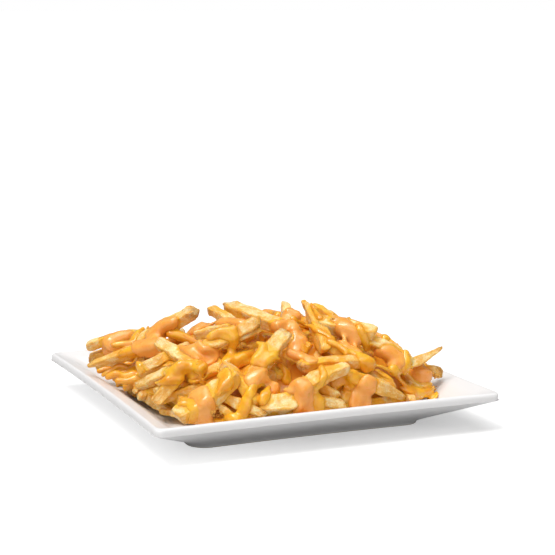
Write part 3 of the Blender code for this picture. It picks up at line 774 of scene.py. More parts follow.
def smooth_rows(rows, steps):
    """Rows of numbers joined by a Catmull-Rom curve with this many steps between rows."""
    rows = np.array(rows, float)
    around = np.concatenate([rows[:1], rows, rows[-1:]])
    t = (np.arange(steps) / steps)[:, None]
    made = []
    for a, b, c, d in zip(around, around[1:], around[2:], around[3:]):
        made.append(b + 0.5 * t * (c - a + t * (2 * a - 5 * b + 4 * c - d + t * (3 * (b - c) + d - a))))
    return np.concatenate(made + [rows[-1:]])


def square_outline(half, corner):
    """Points of a square with round corners, whose sides bow slightly inwards."""
    straight = half - corner
    bow = SIDE_BOW * half / PLATE_HALF
    side = []
    for step in range(CORNER_STEPS + 1):
        angle = -math.pi / 2 + (math.pi / 2) * step / CORNER_STEPS
        side.append((straight + corner * math.cos(angle), -straight + corner * math.sin(angle)))
    for step in range(1, SIDE_STEPS):
        along = -1.0 + 2.0 * step / SIDE_STEPS
        side.append((half - bow * (1.0 - along * along), straight * along))
    points = []
    for turn in range(4):
        cosine, sine = math.cos(turn * math.pi / 2), math.sin(turn * math.pi / 2)
        points += [(x * cosine - y * sine, x * sine + y * cosine) for x, y in side]
    return points


def plate_top(x, y):
    """Height of the plate's upper face, taken a little high near its corners."""
    half = (np.abs(x) ** CORNER_POWER + np.abs(y) ** CORNER_POWER) ** (1 / CORNER_POWER)
    sizes, heights = zip(*inside_profile())
    return np.interp(half + SIDE_BOW, sizes, heights)


def make_plate(material):
    """The plate as a fine loft of smooth rings."""
    rings = smooth_rows(plate_rings(), PROFILE_STEPS)
    loops = [[(x, y, z) for x, y in square_outline(half, corner)] for half, z, corner in rings]
    count, last = len(loops[0]), (len(loops) - 1) * len(loops[0])
    points = [point for loop in loops for point in loop]
    points += [(0.0, 0.0, ring[1]) for ring in (rings[0], rings[-1])]
    sides = [(index, (index + 1) % count) for index in range(count)]
    faces = [(ring + a, ring + count + a, ring + count + b, ring + b)
             for ring in range(0, last, count) for a, b in sides]
    for a, b in sides:
        faces += [(len(points) - 2, a, b), (len(points) - 1, last + b, last + a)]
    return new_piece("plate_glazed", points, faces, material)


# Layout of the heap, as in the part


def heap_top(x, y):
    """Height of the heap's smooth outer skin."""
    across = np.abs((x - HEAP_X) / HEAP_A) ** HEAP_POWER + np.abs((y - HEAP_Y) / HEAP_B) ** HEAP_POWER
    lean = 1 + HEAP_LEAN * (x - HEAP_X) / HEAP_A - HEAP_BACK * (y - HEAP_Y) / HEAP_B
    return HEAP_BASE + HEAP_RISE * lean * np.clip(1 - across, 0, 1) ** HEAP_FALL


def heap_edge(angle):
    """Distance from the heap's middle to its edge in a direction."""
    c, s = np.abs(np.cos(angle)) / HEAP_A, np.abs(np.sin(angle)) / HEAP_B
    return (c ** HEAP_POWER + s ** HEAP_POWER) ** (-1 / HEAP_POWER)


def direction(heading, rise):
    """Unit vector from a heading and a rise in radians."""
    return np.stack([np.cos(rise) * np.cos(heading), np.cos(rise) * np.sin(heading), np.sin(rise)], -1)


def closest_places(a0, a1, b0, b1):
    """Where along two sets of segments the closest points lie, from 0 to 1, as columns."""
    u, v, w = a1 - a0, b1 - b0, a0 - b0
    uu, vv, uv = (u * u).sum(1), (v * v).sum(1), (u * v).sum(1)
    uw, vw = (u * w).sum(1), (v * w).sum(1)
    s = np.clip((uv * vw - uw * vv) / np.maximum(uu * vv - uv * uv, 1e-6), 0, 1)
    t = np.clip((uv * s + vw) / vv, 0, 1)
    s = np.clip((uv * t - uw) / uu, 0, 1)
    return s[:, None], t[:, None]


def between(start, end, share):
    """Points at a share of the way from start to end."""
    return start * (1 - share) + end * share


def nudge(start, end, index, push, share):
    """Push some fries at a place along them, so that the nearer tip moves more."""
    np.add.at(start, index, push * (1 - share))
    np.add.at(end, index, push * share)


def ease_apart(start, end, radius, free):
    """Move the free fries until they only lean on each other and clear the plate."""
    length = np.linalg.norm(end - start, axis=1)[:, None]
    first, second = np.triu_indices(len(start), 1)
    moving = free[first] + free[second] > 0
    first, second = first[moving], second[moving]
    share = (free[first] / (free[first] + free[second]))[:, None]
    reach = EASE_TOUCH * (radius[first] + radius[second])
    fixed = free[first] == 0
    for _ in range(EASE_STEPS):
        s, t = closest_places(start[first], end[first], start[second], end[second])
        gap = between(start[first], end[first], s) - between(start[second], end[second], t)
        distance = np.linalg.norm(gap, axis=1)
        push = gap * (np.clip(reach - distance, 0, None) / np.maximum(distance, 0.1))[:, None] * 0.5
        nudge(start, end, first, push * share, s)
        nudge(start, end, second, -push * (1 - share), t)
        sink_under(start, end, first[fixed], second[fixed], reach[fixed])
        for tip in (start, end):
            roof = heap_top(*tip.T[:2]) + SKIN_ROOM
            tip[:, 2] -= ROOF_PULL * free * np.clip(tip[:, 2] - roof, 0, None)
            for axis, edge in enumerate(EASE_REACH):
                outside = np.clip(np.abs(tip[:, axis]) + radius - edge, 0, None)
                tip[:, axis] -= free * np.sign(tip[:, axis]) * outside
        middle = (start + end) / 2
        half = (end - start) / np.linalg.norm(end - start, axis=1)[:, None] * length / 2
        start[:], end[:] = middle - half, middle + half
        for tip in (start, end):
            floor = plate_top(*tip.T[:2]) + TIP_CLEAR * radius + PLATE_GAP
            tip[:, 2] = np.maximum(tip[:, 2], floor)


def sink_under(start, end, shown, loose, reach):
    """Move loose fries behind the shown ones that they cross, seen from the shown side."""
    out = direction(*SHOWN_SIDE)
    tips = (start[shown], end[shown], start[loose], end[loose])
    s, t = closest_places(*(tip - (tip @ out)[:, None] * out for tip in tips))
    gap = between(start[loose], end[loose], t) - between(start[shown], end[shown], s)
    depth = gap @ out
    aside = np.linalg.norm(gap - depth[:, None] * out, axis=1)
    push = np.where(aside < reach, np.clip(depth + reach, 0, SINK_STEP), 0)[:, None] * out
    nudge(start, end, loose, -push, t)


def shown_runs():
    """Where each shown fry starts, and its way from there to its end."""
    shown = np.array(SHOWN_FRIES, float)
    return shown[:, :3], direction(*np.radians(shown[:, 3:5].T)) * shown[:, 5:6]


def spiral(count, first=0.0):
    """Angle, distance out, x and y of points spread evenly over the heap, out to its rim."""
    step = np.arange(count)
    angle = step * GOLDEN_ANGLE + first
    out = LOOSE_REACH * np.sqrt((step + 0.5) / count) * heap_edge(angle)
    return angle, out, HEAP_X + out * np.cos(angle), HEAP_Y + out * np.sin(angle)


def with_looks(start, end, width, rng):
    """Fries from their ends and width, with random depth, roll, taper, bends, slant and browning."""
    count = len(width)
    return dict(
        start=start, end=end, width=width, depth=width * rng.uniform(*FRY_DEPTH, count),
        roll=rng.uniform(-FRY_ROLL, FRY_ROLL, count), taper=rng.uniform(*FRY_TAPER, (count, 2)),
        bend=rng.normal(0, FRY_BEND, count), brown=rng.uniform(*FRY_BROWN, (count, 2)) ** BROWN_POWER,
        coat=np.clip(rng.normal(*FRY_COAT, count), 0, 1), tone=rng.uniform(*FRY_TONE, count),
        sway=rng.normal(0, FRY_SWAY, count), skew=rng.normal(0, FRY_SKEW, count),
        twist=rng.normal(0, FRY_TWIST, count), slant=rng.normal(0, FRY_SLANT, (count, 3)))


def lay_fries():
    """Place every fry of the solid heap, and say what each looks like."""
    rng = np.random.default_rng(SEED)
    shown = np.array(SHOWN_FRIES, float)
    start, way = shown_runs()
    end = start + way

    x, y = spiral(LOOSE_FRIES)[2:]
    middle = (start + end) / 2
    nearest = np.linalg.norm(np.stack([x, y], 1)[:, None] - middle[None, :, :2], axis=2).min(1)
    lift = np.where(nearest < UNDER_RANGE, UNDER_LIFT, rng.uniform(*LOOSE_LIFT, LOOSE_FRIES))
    heading = rng.uniform(-math.pi, math.pi, LOOSE_FRIES)
    ahead = heap_top(x + PROBE * np.cos(heading), y + PROBE * np.sin(heading))
    behind = heap_top(x - PROBE * np.cos(heading), y - PROBE * np.sin(heading))
    rise = np.arctan2(ahead - behind, 2 * PROBE) + rng.normal(0, LOOSE_TILT, LOOSE_FRIES)
    half = direction(heading, rise) * rng.uniform(*LOOSE_LENGTH, (LOOSE_FRIES, 1)) / 2
    place = np.stack([x, y, heap_top(x, y) + lift], 1)

    start = np.concatenate([start, place - half])
    end = np.concatenate([end, place + half])
    width = np.concatenate([shown[:, 6], rng.uniform(*LOOSE_WIDTH, LOOSE_FRIES)])
    free = np.concatenate([np.zeros(len(shown)), np.ones(LOOSE_FRIES)])
    ease_apart(start, end, width / 2, free)
    fries = with_looks(start, end, width, rng)
    for name, columns in (("tone", 7), ("brown", slice(8, 10)), ("coat", 10)):
        fries[name][:len(shown)] = shown[:, columns]
    fries["taper"][:len(shown), 0] = shown[:, 11]
    return fries


def lay_hidden_fries():
    """Fries under the ones of the solid heap, which close its gaps."""
    rng = np.random.default_rng(SEED + 2)
    angle, out, x, y = spiral(HIDDEN_FRIES, HIDDEN_START)
    z = heap_top(x, y) - rng.uniform(*HIDDEN_SINK, HIDDEN_FRIES)
    at_rim = out > HIDDEN_RIM * heap_edge(angle)
    round_rim = angle + math.pi / 2 + rng.normal(0, RIM_TURN, HIDDEN_FRIES)
    heading = np.where(at_rim, round_rim, rng.uniform(-math.pi, math.pi, HIDDEN_FRIES))
    rise = rng.normal(0, HIDDEN_TILT, HIDDEN_FRIES) * np.where(at_rim, RIM_TILT, 1.0)
    half = direction(heading, rise) * rng.uniform(*HIDDEN_LENGTH, (HIDDEN_FRIES, 1)) / 2
    width = rng.uniform(*LOOSE_WIDTH, HIDDEN_FRIES)
    lying = plate_top(x, y) + HIDDEN_CLEAR * width + rng.uniform(0.0, RIM_STACK, HIDDEN_FRIES)
    place = np.stack([x, y, np.where(at_rim, np.minimum(z, lying), z)], 1)
    start, end = place - half, place + half
    for tip in (start, end):
        tip[:, 2] = np.minimum(tip[:, 2], heap_top(*tip.T[:2]) - HIDDEN_ROOM)
        tip[:, 2] = np.maximum(tip[:, 2], plate_top(*tip.T[:2]) + HIDDEN_CLEAR * width)
        for axis, reach in enumerate(EASE_REACH):
            tip[:, axis] = np.clip(tip[:, axis], HIDDEN_ROOM - reach, reach - HIDDEN_ROOM)
        bare = (tip[:, 0] < BARE_CORNER[0]) & (tip[:, 1] < BARE_CORNER[1])
        tip[bare, 0] = BARE_CORNER[0]
    fries = with_looks(start, end, width, rng)
    fries["coat"] = np.clip(fries["coat"] + HIDDEN_COAT, 0, 1)
    return fries


def frames_along(start, end, roll):
    """Axis, side and upward unit vectors of pieces that run from start to end."""
    axis = (end - start) / np.linalg.norm(end - start, axis=1)[:, None]
    side = np.cross((0.0, 0.0, 1.0), axis)
    side /= np.maximum(np.linalg.norm(side, axis=1)[:, None], 1e-6)
    up = np.cross(axis, side)
    c, s = np.cos(roll)[:, None], np.sin(roll)[:, None]
    return axis, side * c + up * s, up * c - side * s


# Fries


def fry_tree():
    """A node tree that cuts, bends and fries one potato stick at each point."""
    g, given = start_geometry("cut_and_fry", {
        "Cuts Along": 30, "Cuts Across": 8, "Face Sink": 0.06,
        "Edge Round": 0.0016, "Lump Height": 0.0013, "Blister Height": 0.0003,
    })
    counts = {"Vertices X": given["Cuts Along"], "Vertices Y": given["Cuts Across"],
              "Vertices Z": given["Cuts Across"]}
    blank = g.wire("GeometryNodeMeshCube", {"Size": (1.0, 1.0, 1.0), **counts}, "Mesh")
    here = g.wire("GeometryNodeInputPosition")
    blank = store(g, blank, "unit", here, "FLOAT_VECTOR")
    laid = g.wire("GeometryNodeInstanceOnPoints", {"Points": given["Geometry"], "Instance": blank})
    loose = g.wire("GeometryNodeRealizeInstances", {0: laid})

    # The blank, a unit cube, as a stick of the fry's size with round edges
    unit, seed = read(g, "unit"), read(g, "seed", "FLOAT")
    size, axis, side, up, ends, bow, slant, crisp = [read(g, name) for name in FRY_VECTORS]
    own_place, edge_round = g.join(seed, seed, seed), given["Edge Round"]
    dense = unit * 0.5 + g.vector("SINE", unit * math.pi) * 0.25
    box = dense * size
    reach = size * 0.5 - g.join(edge_round, edge_round, edge_round)
    inner = g.vector("MAXIMUM", g.vector("MINIMUM", box, reach), reach * -1.0)
    stick = inner + g.vector("NORMALIZE", box - inner) * edge_round
    x, y, z = g.split(stick)
    t, across, depth = g.split(dense)
    length = g.split(size)[0]

    # Thinner towards its ends and in the middle of its faces, and lumpy along its length
    keep_y, keep_z = [1.0 - given["Face Sink"] * (1.0 - spot * spot * 4.0) for spot in (depth, across)]
    start_taper, end_taper, twist = g.split(ends)
    full = 1.0 - abs(t * 2.0)
    at_end = g.math("GREATER_THAN", t, 0.0)
    thin = full + (1.0 - full) * (start_taper + at_end * (end_taper - start_taper))
    lump = g.ramp(g.noise(g.join(x * LUMPS_ALONG, seed, 0.0), 1.0, 1.0), *NOISE_RANGE, *LUMP_WIDTH)
    from_start, from_end = (t + 0.5) * length, (0.5 - t) * length
    from_tip = g.math("MINIMUM", from_start, from_end)
    thick = thin * lump * g.ramp(from_tip, *TIP_ROUND)
    y, z = y * keep_y * thick, z * keep_z * thick

    # Slanted ends, a skewed and twisted section and a bow
    start_slant, end_slant, deep_slant = g.split(slant)
    side_slant = start_slant + at_end * (end_slant - start_slant)
    x = x + (y * side_slant + z * deep_slant) * (1.0 - full) ** 3.0
    sway, bend, skew = g.split(bow)
    y = y + z * skew
    cosine, sine = [g.math(operation, twist * t) for operation in ("COSINE", "SINE")]
    arch = (1.0 - t * t * 4.0) * length
    turned_y = y * cosine - z * sine + arch * sway
    turned_z = y * sine + z * cosine + arch * bend
    place = here - unit + axis * x + side * turned_y + up * turned_z

    # Browned ends, soft lumps, and blisters that are rougher where it is brown
    brown_start, brown_end, ragged = g.split(crisp)
    wobble = g.ramp(g.noise(place, BROWN_SCALE), *NOISE_RANGE, 0.0, BROWN_WOBBLE)
    browned = [g.ramp(away + wobble, *BROWN_FADE, 1.0, 0.0) * share
               for away, share in ((from_start, brown_start), (from_end, brown_end))]
    brown = g.math("MAXIMUM", *browned)
    soft, fine = [g.jitter(place + own_place, scale) for scale in (LUMP_SCALE, BLISTER_SCALE)]
    place = place + soft * (given["Lump Height"] * 2.0)
    place = place + fine * (given["Blister Height"] * 2.0 * (1.0 + brown * ragged))
    shaped = g.wire("GeometryNodeSetPosition", {"Geometry": loose, "Position": place})

    # What the material reads
    near_side, near_top = [abs(spot * 2.0) ** 5.0 for spot in (across, depth)]
    tip_edge = g.ramp(from_tip, 0.0, TIP_EDGE, 1.0, 0.0) * g.math("MAXIMUM", near_side, near_top)
    shaped = store(g, shaped, "grain", stick + own_place, "FLOAT_VECTOR")
    shaped = store(g, shaped, "edge", g.math("MAXIMUM", near_side * near_top, tip_edge), "FLOAT")
    shaped = store(g, shaped, "brown", brown, "FLOAT")
    return end_geometry(g, shaped, given["Finish"])


def store(g, geometry, name, value, kind):
    """Keep a value on each point under a name."""
    inputs = {"Geometry": geometry, "Name": name, "Value": value}
    return g.wire("GeometryNodeStoreNamedAttribute", inputs, data_type=kind, domain="POINT")


def read(g, name, kind="FLOAT_VECTOR"):
    """A value that the points carry."""
    return g.wire("GeometryNodeInputNamedAttribute", {"Name": name}, data_type=kind)


def points_object(name, places, vectors, numbers):
    """An object of bare points that carry the named vectors and numbers."""
    obj = new_piece(name, places, [])
    for values, kind, field in ((vectors, "FLOAT_VECTOR", "vector"), (numbers, "FLOAT", "value")):
        for key, each in values.items():
            layer = obj.data.attributes.new(key, kind, "POINT")
            layer.data.foreach_set(field, np.asarray(each, np.float32).ravel())
    return obj


def drop_attributes(obj, names):
    """Take away named values that the finished piece has no use for."""
    for name in names:
        if name in obj.data.attributes:
            obj.data.attributes.remove(obj.data.attributes[name])


def make_fries(name, fries, pick, tree, settings, cuts, material):
    """Cut and fry the picked fries as one piece."""
    fries = {key: np.asarray(values)[pick] for key, values in fries.items()}
    start, end = fries["start"], fries["end"]
    count = len(start)
    length = np.linalg.norm(end - start, axis=1)
    axis, side, up = frames_along(start, end, fries["roll"])
    vectors = {
        "size": np.stack([length, fries["width"], fries["depth"]], 1) * MM,
        "axis": axis, "side": side, "up": up, "slant": fries["slant"],
        "ends": np.column_stack([fries["taper"], fries["twist"]]),
        "bow": np.stack([fries["sway"], fries["bend"], fries["skew"]], 1),
        "crisp": np.column_stack([fries["brown"], np.full(count, settings.raggedness)]),
    }
    numbers = {"tone": fries["tone"], "coat": fries["coat"], "seed": np.arange(count) * SEED_STEP + 3.0}
    obj = points_object(name, (start + end) / 2, vectors, numbers)
    run_nodes(obj, tree, {
        "Cuts Along": cuts[0], "Cuts Across": cuts[1], "Edge Round": settings.edge_round,
        "Lump Height": settings.lump_height, "Blister Height": settings.blister_height, "Finish": material,
    })
    drop_attributes(obj, FRY_VECTORS + ("unit", "seed"))
    return obj


def raise_off_plate(obj):
    """Lift every point that would sink into the plate to just above it."""
    points = points_of(obj)
    floor = plate_top(points[:, 0], points[:, 1]) + PLATE_GAP
    points[:, 2] = np.maximum(points[:, 2], floor)
    obj.data.vertices.foreach_set("co", (points * MM).astype(np.float32).ravel())
    obj.data.update()


# Cheese. Each kind is a field over the air's cells that is below zero inside the cheese.


def camera_axes():
    """The camera's forward, right and upward unit vectors."""
    level = (math.sin(CAMERA_HEADING), math.cos(CAMERA_HEADING))
    forward = np.array((*(math.cos(CAMERA_PITCH) * c for c in level), -math.sin(CAMERA_PITCH)))
    right = np.array((level[1], -level[0], 0.0))
    return forward, right, np.cross(right, forward)


def pixel_ray(u, v):
    """Unit direction from the camera through a pixel of the photograph."""
    forward, right, up = camera_axes()
    scale = LENS / SENSOR * PHOTO_SIDE
    ray = forward + right * (u - PHOTO_CENTRE) / scale + up * (PHOTO_CENTRE - v) / scale
    return ray / np.linalg.norm(ray)


def surface_of(*names):
    """A tree for casting rays onto the fries, their core, the plate and some more pieces."""
    points, faces = [], []
    for name in (*FRY_PIECES, "soaked_core", "plate_glazed", *names):
        obj = need(name)
        faces += [[len(points) + index for index in face.vertices] for face in obj.data.polygons]
        points += points_of(obj).tolist()
    return BVHTree.FromPolygons(points, faces)


def bridged(depths, spacing):
    """Depths along a path, brought forward where the path would dive into a gap."""
    depths = np.array(depths, float)
    for order in (range(1, len(depths)), range(len(depths) - 2, -1, -1)):
        step = order.step
        for index in order:
            depths[index] = min(depths[index], depths[index - step] + DIVE * spacing)
    padded = np.pad(depths, 2, mode="edge")
    return np.convolve(padded, np.full(5, 0.2), mode="valid")


def rest_on(starts, ways, spacing, surface):
    """Places where rays first meet the surface, bridged over gaps, or None if none meets it."""
    depths = []
    for start, way in zip(starts, ways):
        hit = surface.ray_cast(Vector(start), Vector(way))
        depths.append(np.inf if hit[0] is None else hit[3])
    if not np.isfinite(depths).any():
        return None
    return np.asarray(starts) + np.asarray(ways) * bridged(depths, spacing)[:, None]


def through_pixels(path, surface, hangs):
    """Places along a path of the photo's pixels, on the pieces that they show or hanging from them."""
    fine = smooth_rows(path, PATH_STEPS)
    spacing = 0.0 if hangs else PIXEL_SIZE * float(np.linalg.norm(np.diff(fine, axis=0), axis=1).mean())
    return rest_on([CAMERA_AT] * len(fine), [pixel_ray(u, v) for u, v in fine], spacing, surface)


def strewn_paths(count, first_angle, span, lengths, surface, rng):
    """Paths laid by rule over the part of the heap that faces away, clear of the shown fries."""
    start, way = shown_runs()
    taken = (start + np.linspace(0, 1, 12)[:, None, None] * way).reshape(-1, 3)[:, :2]
    steps = np.linspace(-0.5, 0.5, STREWN_STEPS)
    made = []
    for step in range(count):
        angle = math.radians(first_angle + span * (step + 0.5) / count)
        out = float(heap_edge(angle)) * RING_SHARES[step % len(RING_SHARES)]
        x, y = HEAP_X + out * math.cos(angle), HEAP_Y + out * math.sin(angle)
        heading = angle + rng.uniform(-STREWN_TURN, STREWN_TURN)
        length = rng.uniform(*lengths)
        bow = rng.uniform(-STREWN_BOW, STREWN_BOW) * (4 * steps ** 2 - 1)
        cosine, sine = math.cos(heading), math.sin(heading)
        places = (x + length * (steps * cosine - bow * sine), y + length * (steps * sine + bow * cosine))
        flat = [np.clip(place, -edge, edge) for place, edge in zip(places, EASE_REACH)]
        starts = np.stack([*flat, np.full(STREWN_STEPS, AIR_HIGH[2])], 1)
        if np.linalg.norm(starts[:, None, :2] - taken, axis=2).min() > CLEAR_OF_SHOWN:
            down = [(0.0, 0.0, -1.0)] * STREWN_STEPS
            made.append(rest_on(starts, down, length / (STREWN_STEPS - 1), surface))
    return made


def fry_distance(fries, frames, index, places):
    """Distance from places to the faces of one fry, below zero inside it."""
    start, end = fries["start"][index], fries["end"][index]
    length = np.linalg.norm(end - start)
    offset = places - (start + end) / 2
    x, y, z = [offset @ vectors[index] for vectors in frames]
    t = np.clip(x / length, -0.5, 0.5)
    arch = (1 - 4 * t * t) * length
    y, z = y - arch * fries["sway"][index], z - arch * fries["bend"][index]
    cosine, sine = np.cos(fries["twist"][index] * t), np.sin(fries["twist"][index] * t)
    y, z = y * cosine + z * sine, z * cosine - y * sine
    full = 1 - np.abs(2 * t)
    taper = np.where(t < 0, *fries["taper"][index])
    half = FRY_FILL / 2 * (full + (1 - full) * taper)
    beyond = [np.abs(x) - length / 2, np.abs(y) - half * fries["width"][index],
              np.abs(z) - half * fries["depth"][index]]
    beyond = np.stack(beyond, -1) + FRY_ROUND
    return np.linalg.norm(np.maximum(beyond, 0), axis=-1) + np.minimum(beyond.max(-1), 0) - FRY_ROUND


class Air:
    """The air over the plate in small cells, with each cell's distance to the heap under it."""

    def __init__(self, heaps):
        self.axes = [np.arange(low, high, CELL) for low, high in zip(AIR_LOW, AIR_HIGH)]
        x, y, z = np.meshgrid(*self.axes, indexing="ij", sparse=True)
        self.above_plate = (z - plate_top(x, y)).astype(np.float32)
        bare = [np.clip(1 + (edge - axis) / BARE_FADE, 0, 1) for edge, axis in zip(BARE_CORNER, (x, y))]
        core = heap_top(x, y) - CORE_SINK - CORNER_SINK * bare[0] * bare[1]
        crowd = np.exp(-np.clip(z - core, -FAR, FAR) / CREASE)
        for fries in heaps:
            frames = frames_along(fries["start"], fries["end"], fries["roll"])
            for index in range(len(fries["width"])):
                ends = np.stack([fries["start"][index], fries["end"][index]])
                margin = fries["width"][index] + FAR
                cut, places = self.block(ends.min(0) - margin, ends.max(0) + margin)
                distance = fry_distance(fries, frames, index, places)
                crowd[cut] += np.exp(-np.maximum(distance, -FAR) / CREASE)
        self.over_heap = (-CREASE * np.log(crowd)).astype(np.float32)
        level = np.stack(np.broadcast_arrays(x, y, 0.0), -1)
        more = MELT_WAVES[0] * swell_at(level, np.random.default_rng(SEED + 4), MELT_WAVES[1])
        undercut = MELT_UNDERCUT * np.exp(-np.maximum(self.above_plate, 0) / MELT_FOOT)
        melt = blurred(self.over_heap, MELT_REACH, MELT_ROUNDS) - MELT_RISE - more + undercut
        self.melt = np.maximum(melt, PLATE_GAP - self.above_plate).astype(np.float32)
        self.over_heap = np.minimum(self.over_heap, self.melt)

    def block(self, low, high):
        """The cells between two corners, and their places."""
        cut = tuple(slice(*np.searchsorted(axis, ends)) for axis, ends in zip(self.axes, zip(low, high)))
        grid = np.meshgrid(*(axis[part] for axis, part in zip(self.axes, cut)), indexing="ij")
        return cut, np.stack(grid, -1)

    def empty(self):
        """A field with no cheese in it."""
        return np.full(self.over_heap.shape, FAR, np.float32)

    def off_plate(self, field):
        """The field with every cell in or on the plate left free of cheese."""
        return np.maximum(field, PLATE_FILM - self.above_plate)

    def read(self, field, points):
        """The field's values at some points."""
        spots = [np.clip(((points[:, axis] - AIR_LOW[axis]) / CELL).round().astype(int), 0, size - 1)
                 for axis, size in enumerate(field.shape)]
        return field[tuple(spots)]


@lru_cache(maxsize=1)
def air_over_heap():
    """The air over all fries, worked out once for the pieces that need it."""
    return Air((lay_fries(), lay_hidden_fries()))


def blurred(field, reach, rounds):
    """A field averaged over its neighbours along each axis this many times."""
    span = 2 * reach + 1
    for axis in [0, 1, 2] * rounds:
        ends = [(reach + 1, reach) if other == axis else (0, 0) for other in range(3)]
        sums = np.cumsum(np.pad(field, ends, mode="edge"), axis=axis, dtype=np.float64)
        first, last = [tuple(part if other == axis else slice(None) for other in range(3))
                       for part in (slice(None, -span), slice(span, None))]
        field = (sums[last] - sums[first]) / span
    return field


def smooth_min(first, second, reach):
    """The lower of two fields, with a fillet where they cross."""
    share = np.clip(0.5 + 0.5 * (second - first) / reach, 0, 1)
    return second + (first - second) * share - reach * share * (1 - share)


def swell_at(places, rng, wavelength):
    """Smooth seeded waves over places, about -1 to 1."""
    total = np.zeros(places.shape[:-1])
    for _ in range(WAVE_COUNT):
        way = rng.normal(size=3)
        way *= 2 * math.pi / (wavelength * rng.uniform(*WAVE_SPREAD) * np.linalg.norm(way))
        total += np.sin(places @ way + rng.uniform(0, 2 * math.pi))
    return total / WAVE_HEIGHT


def pour_along(air, field, path, width, thickness, bead, rng):
    """Lower the field in a ribbon that coats the heap along a path and spans its gaps as a bead."""
    if path is None:
        return
    grown = RIBBON_START + RIBBON_GROWTH * np.linspace(0, 1, len(path))
    cut, places = air.block(path.min(0) - width, path.max(0) + width)
    flat = places.reshape(-1, 3)
    squares = (flat ** 2).sum(1)[:, None] - 2 * flat @ path.T + (path ** 2).sum(1)
    nearest = squares.argmin(1)
    distance = np.sqrt(np.clip(squares[np.arange(len(flat)), nearest], 0, None)).reshape(places.shape[:-1])
    distance *= 1 + RIBBON_WAVES[0] * swell_at(places, rng, RIBBON_WAVES[1])
    half = (width / 2 * grown)[nearest].reshape(distance.shape)
    lift = CHEESE_FLAT * thickness * np.sqrt(np.clip(1 - (distance / half) ** 3, 0, 1))
    coat = np.maximum(np.minimum(air.over_heap[cut], air.above_plate[cut]) - lift, distance - half)
    if bead:
        coat = smooth_min(coat, distance - CHEESE_FLAT * bead * half, CHEESE_JOIN)
    field[cut] = smooth_min(field[cut], coat, CHEESE_JOIN)


def poured(air, shown, loose, surface, rng):
    """A field with one kind of cheese: the ribbons that the photo shows, then those laid by rule."""
    field = air.empty()
    for width, thickness, bead, path in shown:
        pour_along(air, field, through_pixels(path, surface, not thickness), width, thickness, bead, rng)
    *layout, widths, thickness, bead = loose
    for path in strewn_paths(*layout, surface, rng):
        width = rng.uniform(*widths)
        deep = rng.uniform(*thickness) if isinstance(thickness, tuple) else thickness
        pour_along(air, field, path, width, deep, bead, rng)
    return field


def surface_net(field, cell=CELL):
    """Points and faces round the cells below zero, with one point in each cell that is cut."""
    inside = field < 0
    count = np.zeros([size - 1 for size in field.shape], np.int8)
    corners = [(i, j, k) for i in (0, 1) for j in (0, 1) for k in (0, 1)]
    for corner in corners:
        count += inside[tuple(slice(c, size - 1 + c) for c, size in zip(corner, field.shape))]
    cells = np.argwhere((count > 0) & (count < 8))
    number = np.full(count.shape, -1)
    number[tuple(cells.T)] = np.arange(len(cells))
    total, crossed = np.zeros((len(cells), 3)), np.zeros((len(cells), 1))
    for first in corners:
        for axis in range(3):
            if first[axis]:
                continue
            second = tuple(1 if other == axis else first[other] for other in range(3))
            a = field[tuple((cells + first).T)]
            b = field[tuple((cells + second).T)]
            cut = ((a < 0) != (b < 0))[:, None]
            share = (a / np.where(a == b, 1, a - b))[:, None]
            total += cut * (np.array(first) + share * (np.array(second) - first))
            crossed += cut
    points = np.array(AIR_LOW) + cell * (cells + total / crossed)
    faces = []
    for axis in range(3):
        ahead, behind = [tuple(part if other == axis else slice(1, -1) for other in range(3))
                         for part in (slice(1, None), slice(None, -1))]
        for outward in (False, True):
            cut = inside[behind] & ~inside[ahead] if outward else ~inside[behind] & inside[ahead]
            at = np.argwhere(cut)
            second, third = (axis + 1) % 3, (axis + 2) % 3
            ring = []
            for step_b, step_c in ((0, 0), (1, 0), (1, 1), (0, 1)):
                place = at.copy()
                place[:, second] += step_b
                place[:, third] += step_c
                ring.append(number[tuple(place.T)])
            faces.append(np.stack(ring if outward else ring[::-1], 1))
    return points, np.concatenate(faces)


def set_cheese(name, net, material, rounds):
    """Turn the points and faces round a field into one smooth closed piece."""
    obj = new_piece(name, *net, material)
    ease = obj.modifiers.new("ease", "SMOOTH")
    ease.factor, ease.iterations = 0.5, rounds
    applied(obj).data.shade_smooth()
    return obj


def spread_film(air, fields):
    """Mark on each fry how much thin cheese it carries: its own coat, more near thick cheese, and more near
    the soaked core deep in the gaps, where it is partly painted shade.
    """
    for name in FRY_PIECES:
        mesh = need(name).data
        points = points_of(need(name))
        coat = np.empty(len(points), np.float32)
        mesh.attributes["coat"].data.foreach_get("value", coat)
        distance = np.clip(np.minimum(*(air.read(field, points) for field in fields)), 0, None)
        # Film near the soaked core, deep in the gaps: partly cheese soaking in, partly painted shade
        soaked = SOAK[0] * np.exp(-(np.clip(air.read(air.melt, points), 0, None) / SOAK[1]) ** 2)
        near = FILM[0] * np.exp(-(distance / FILM[1]) ** 2)
        film = np.maximum(np.maximum(coat * COAT_FILM, near), soaked).astype(np.float32)
        mesh.attributes.new("film", "FLOAT", "POINT").data.foreach_set("value", film)
        drop_attributes(need(name), ("coat",))


# Crumbs


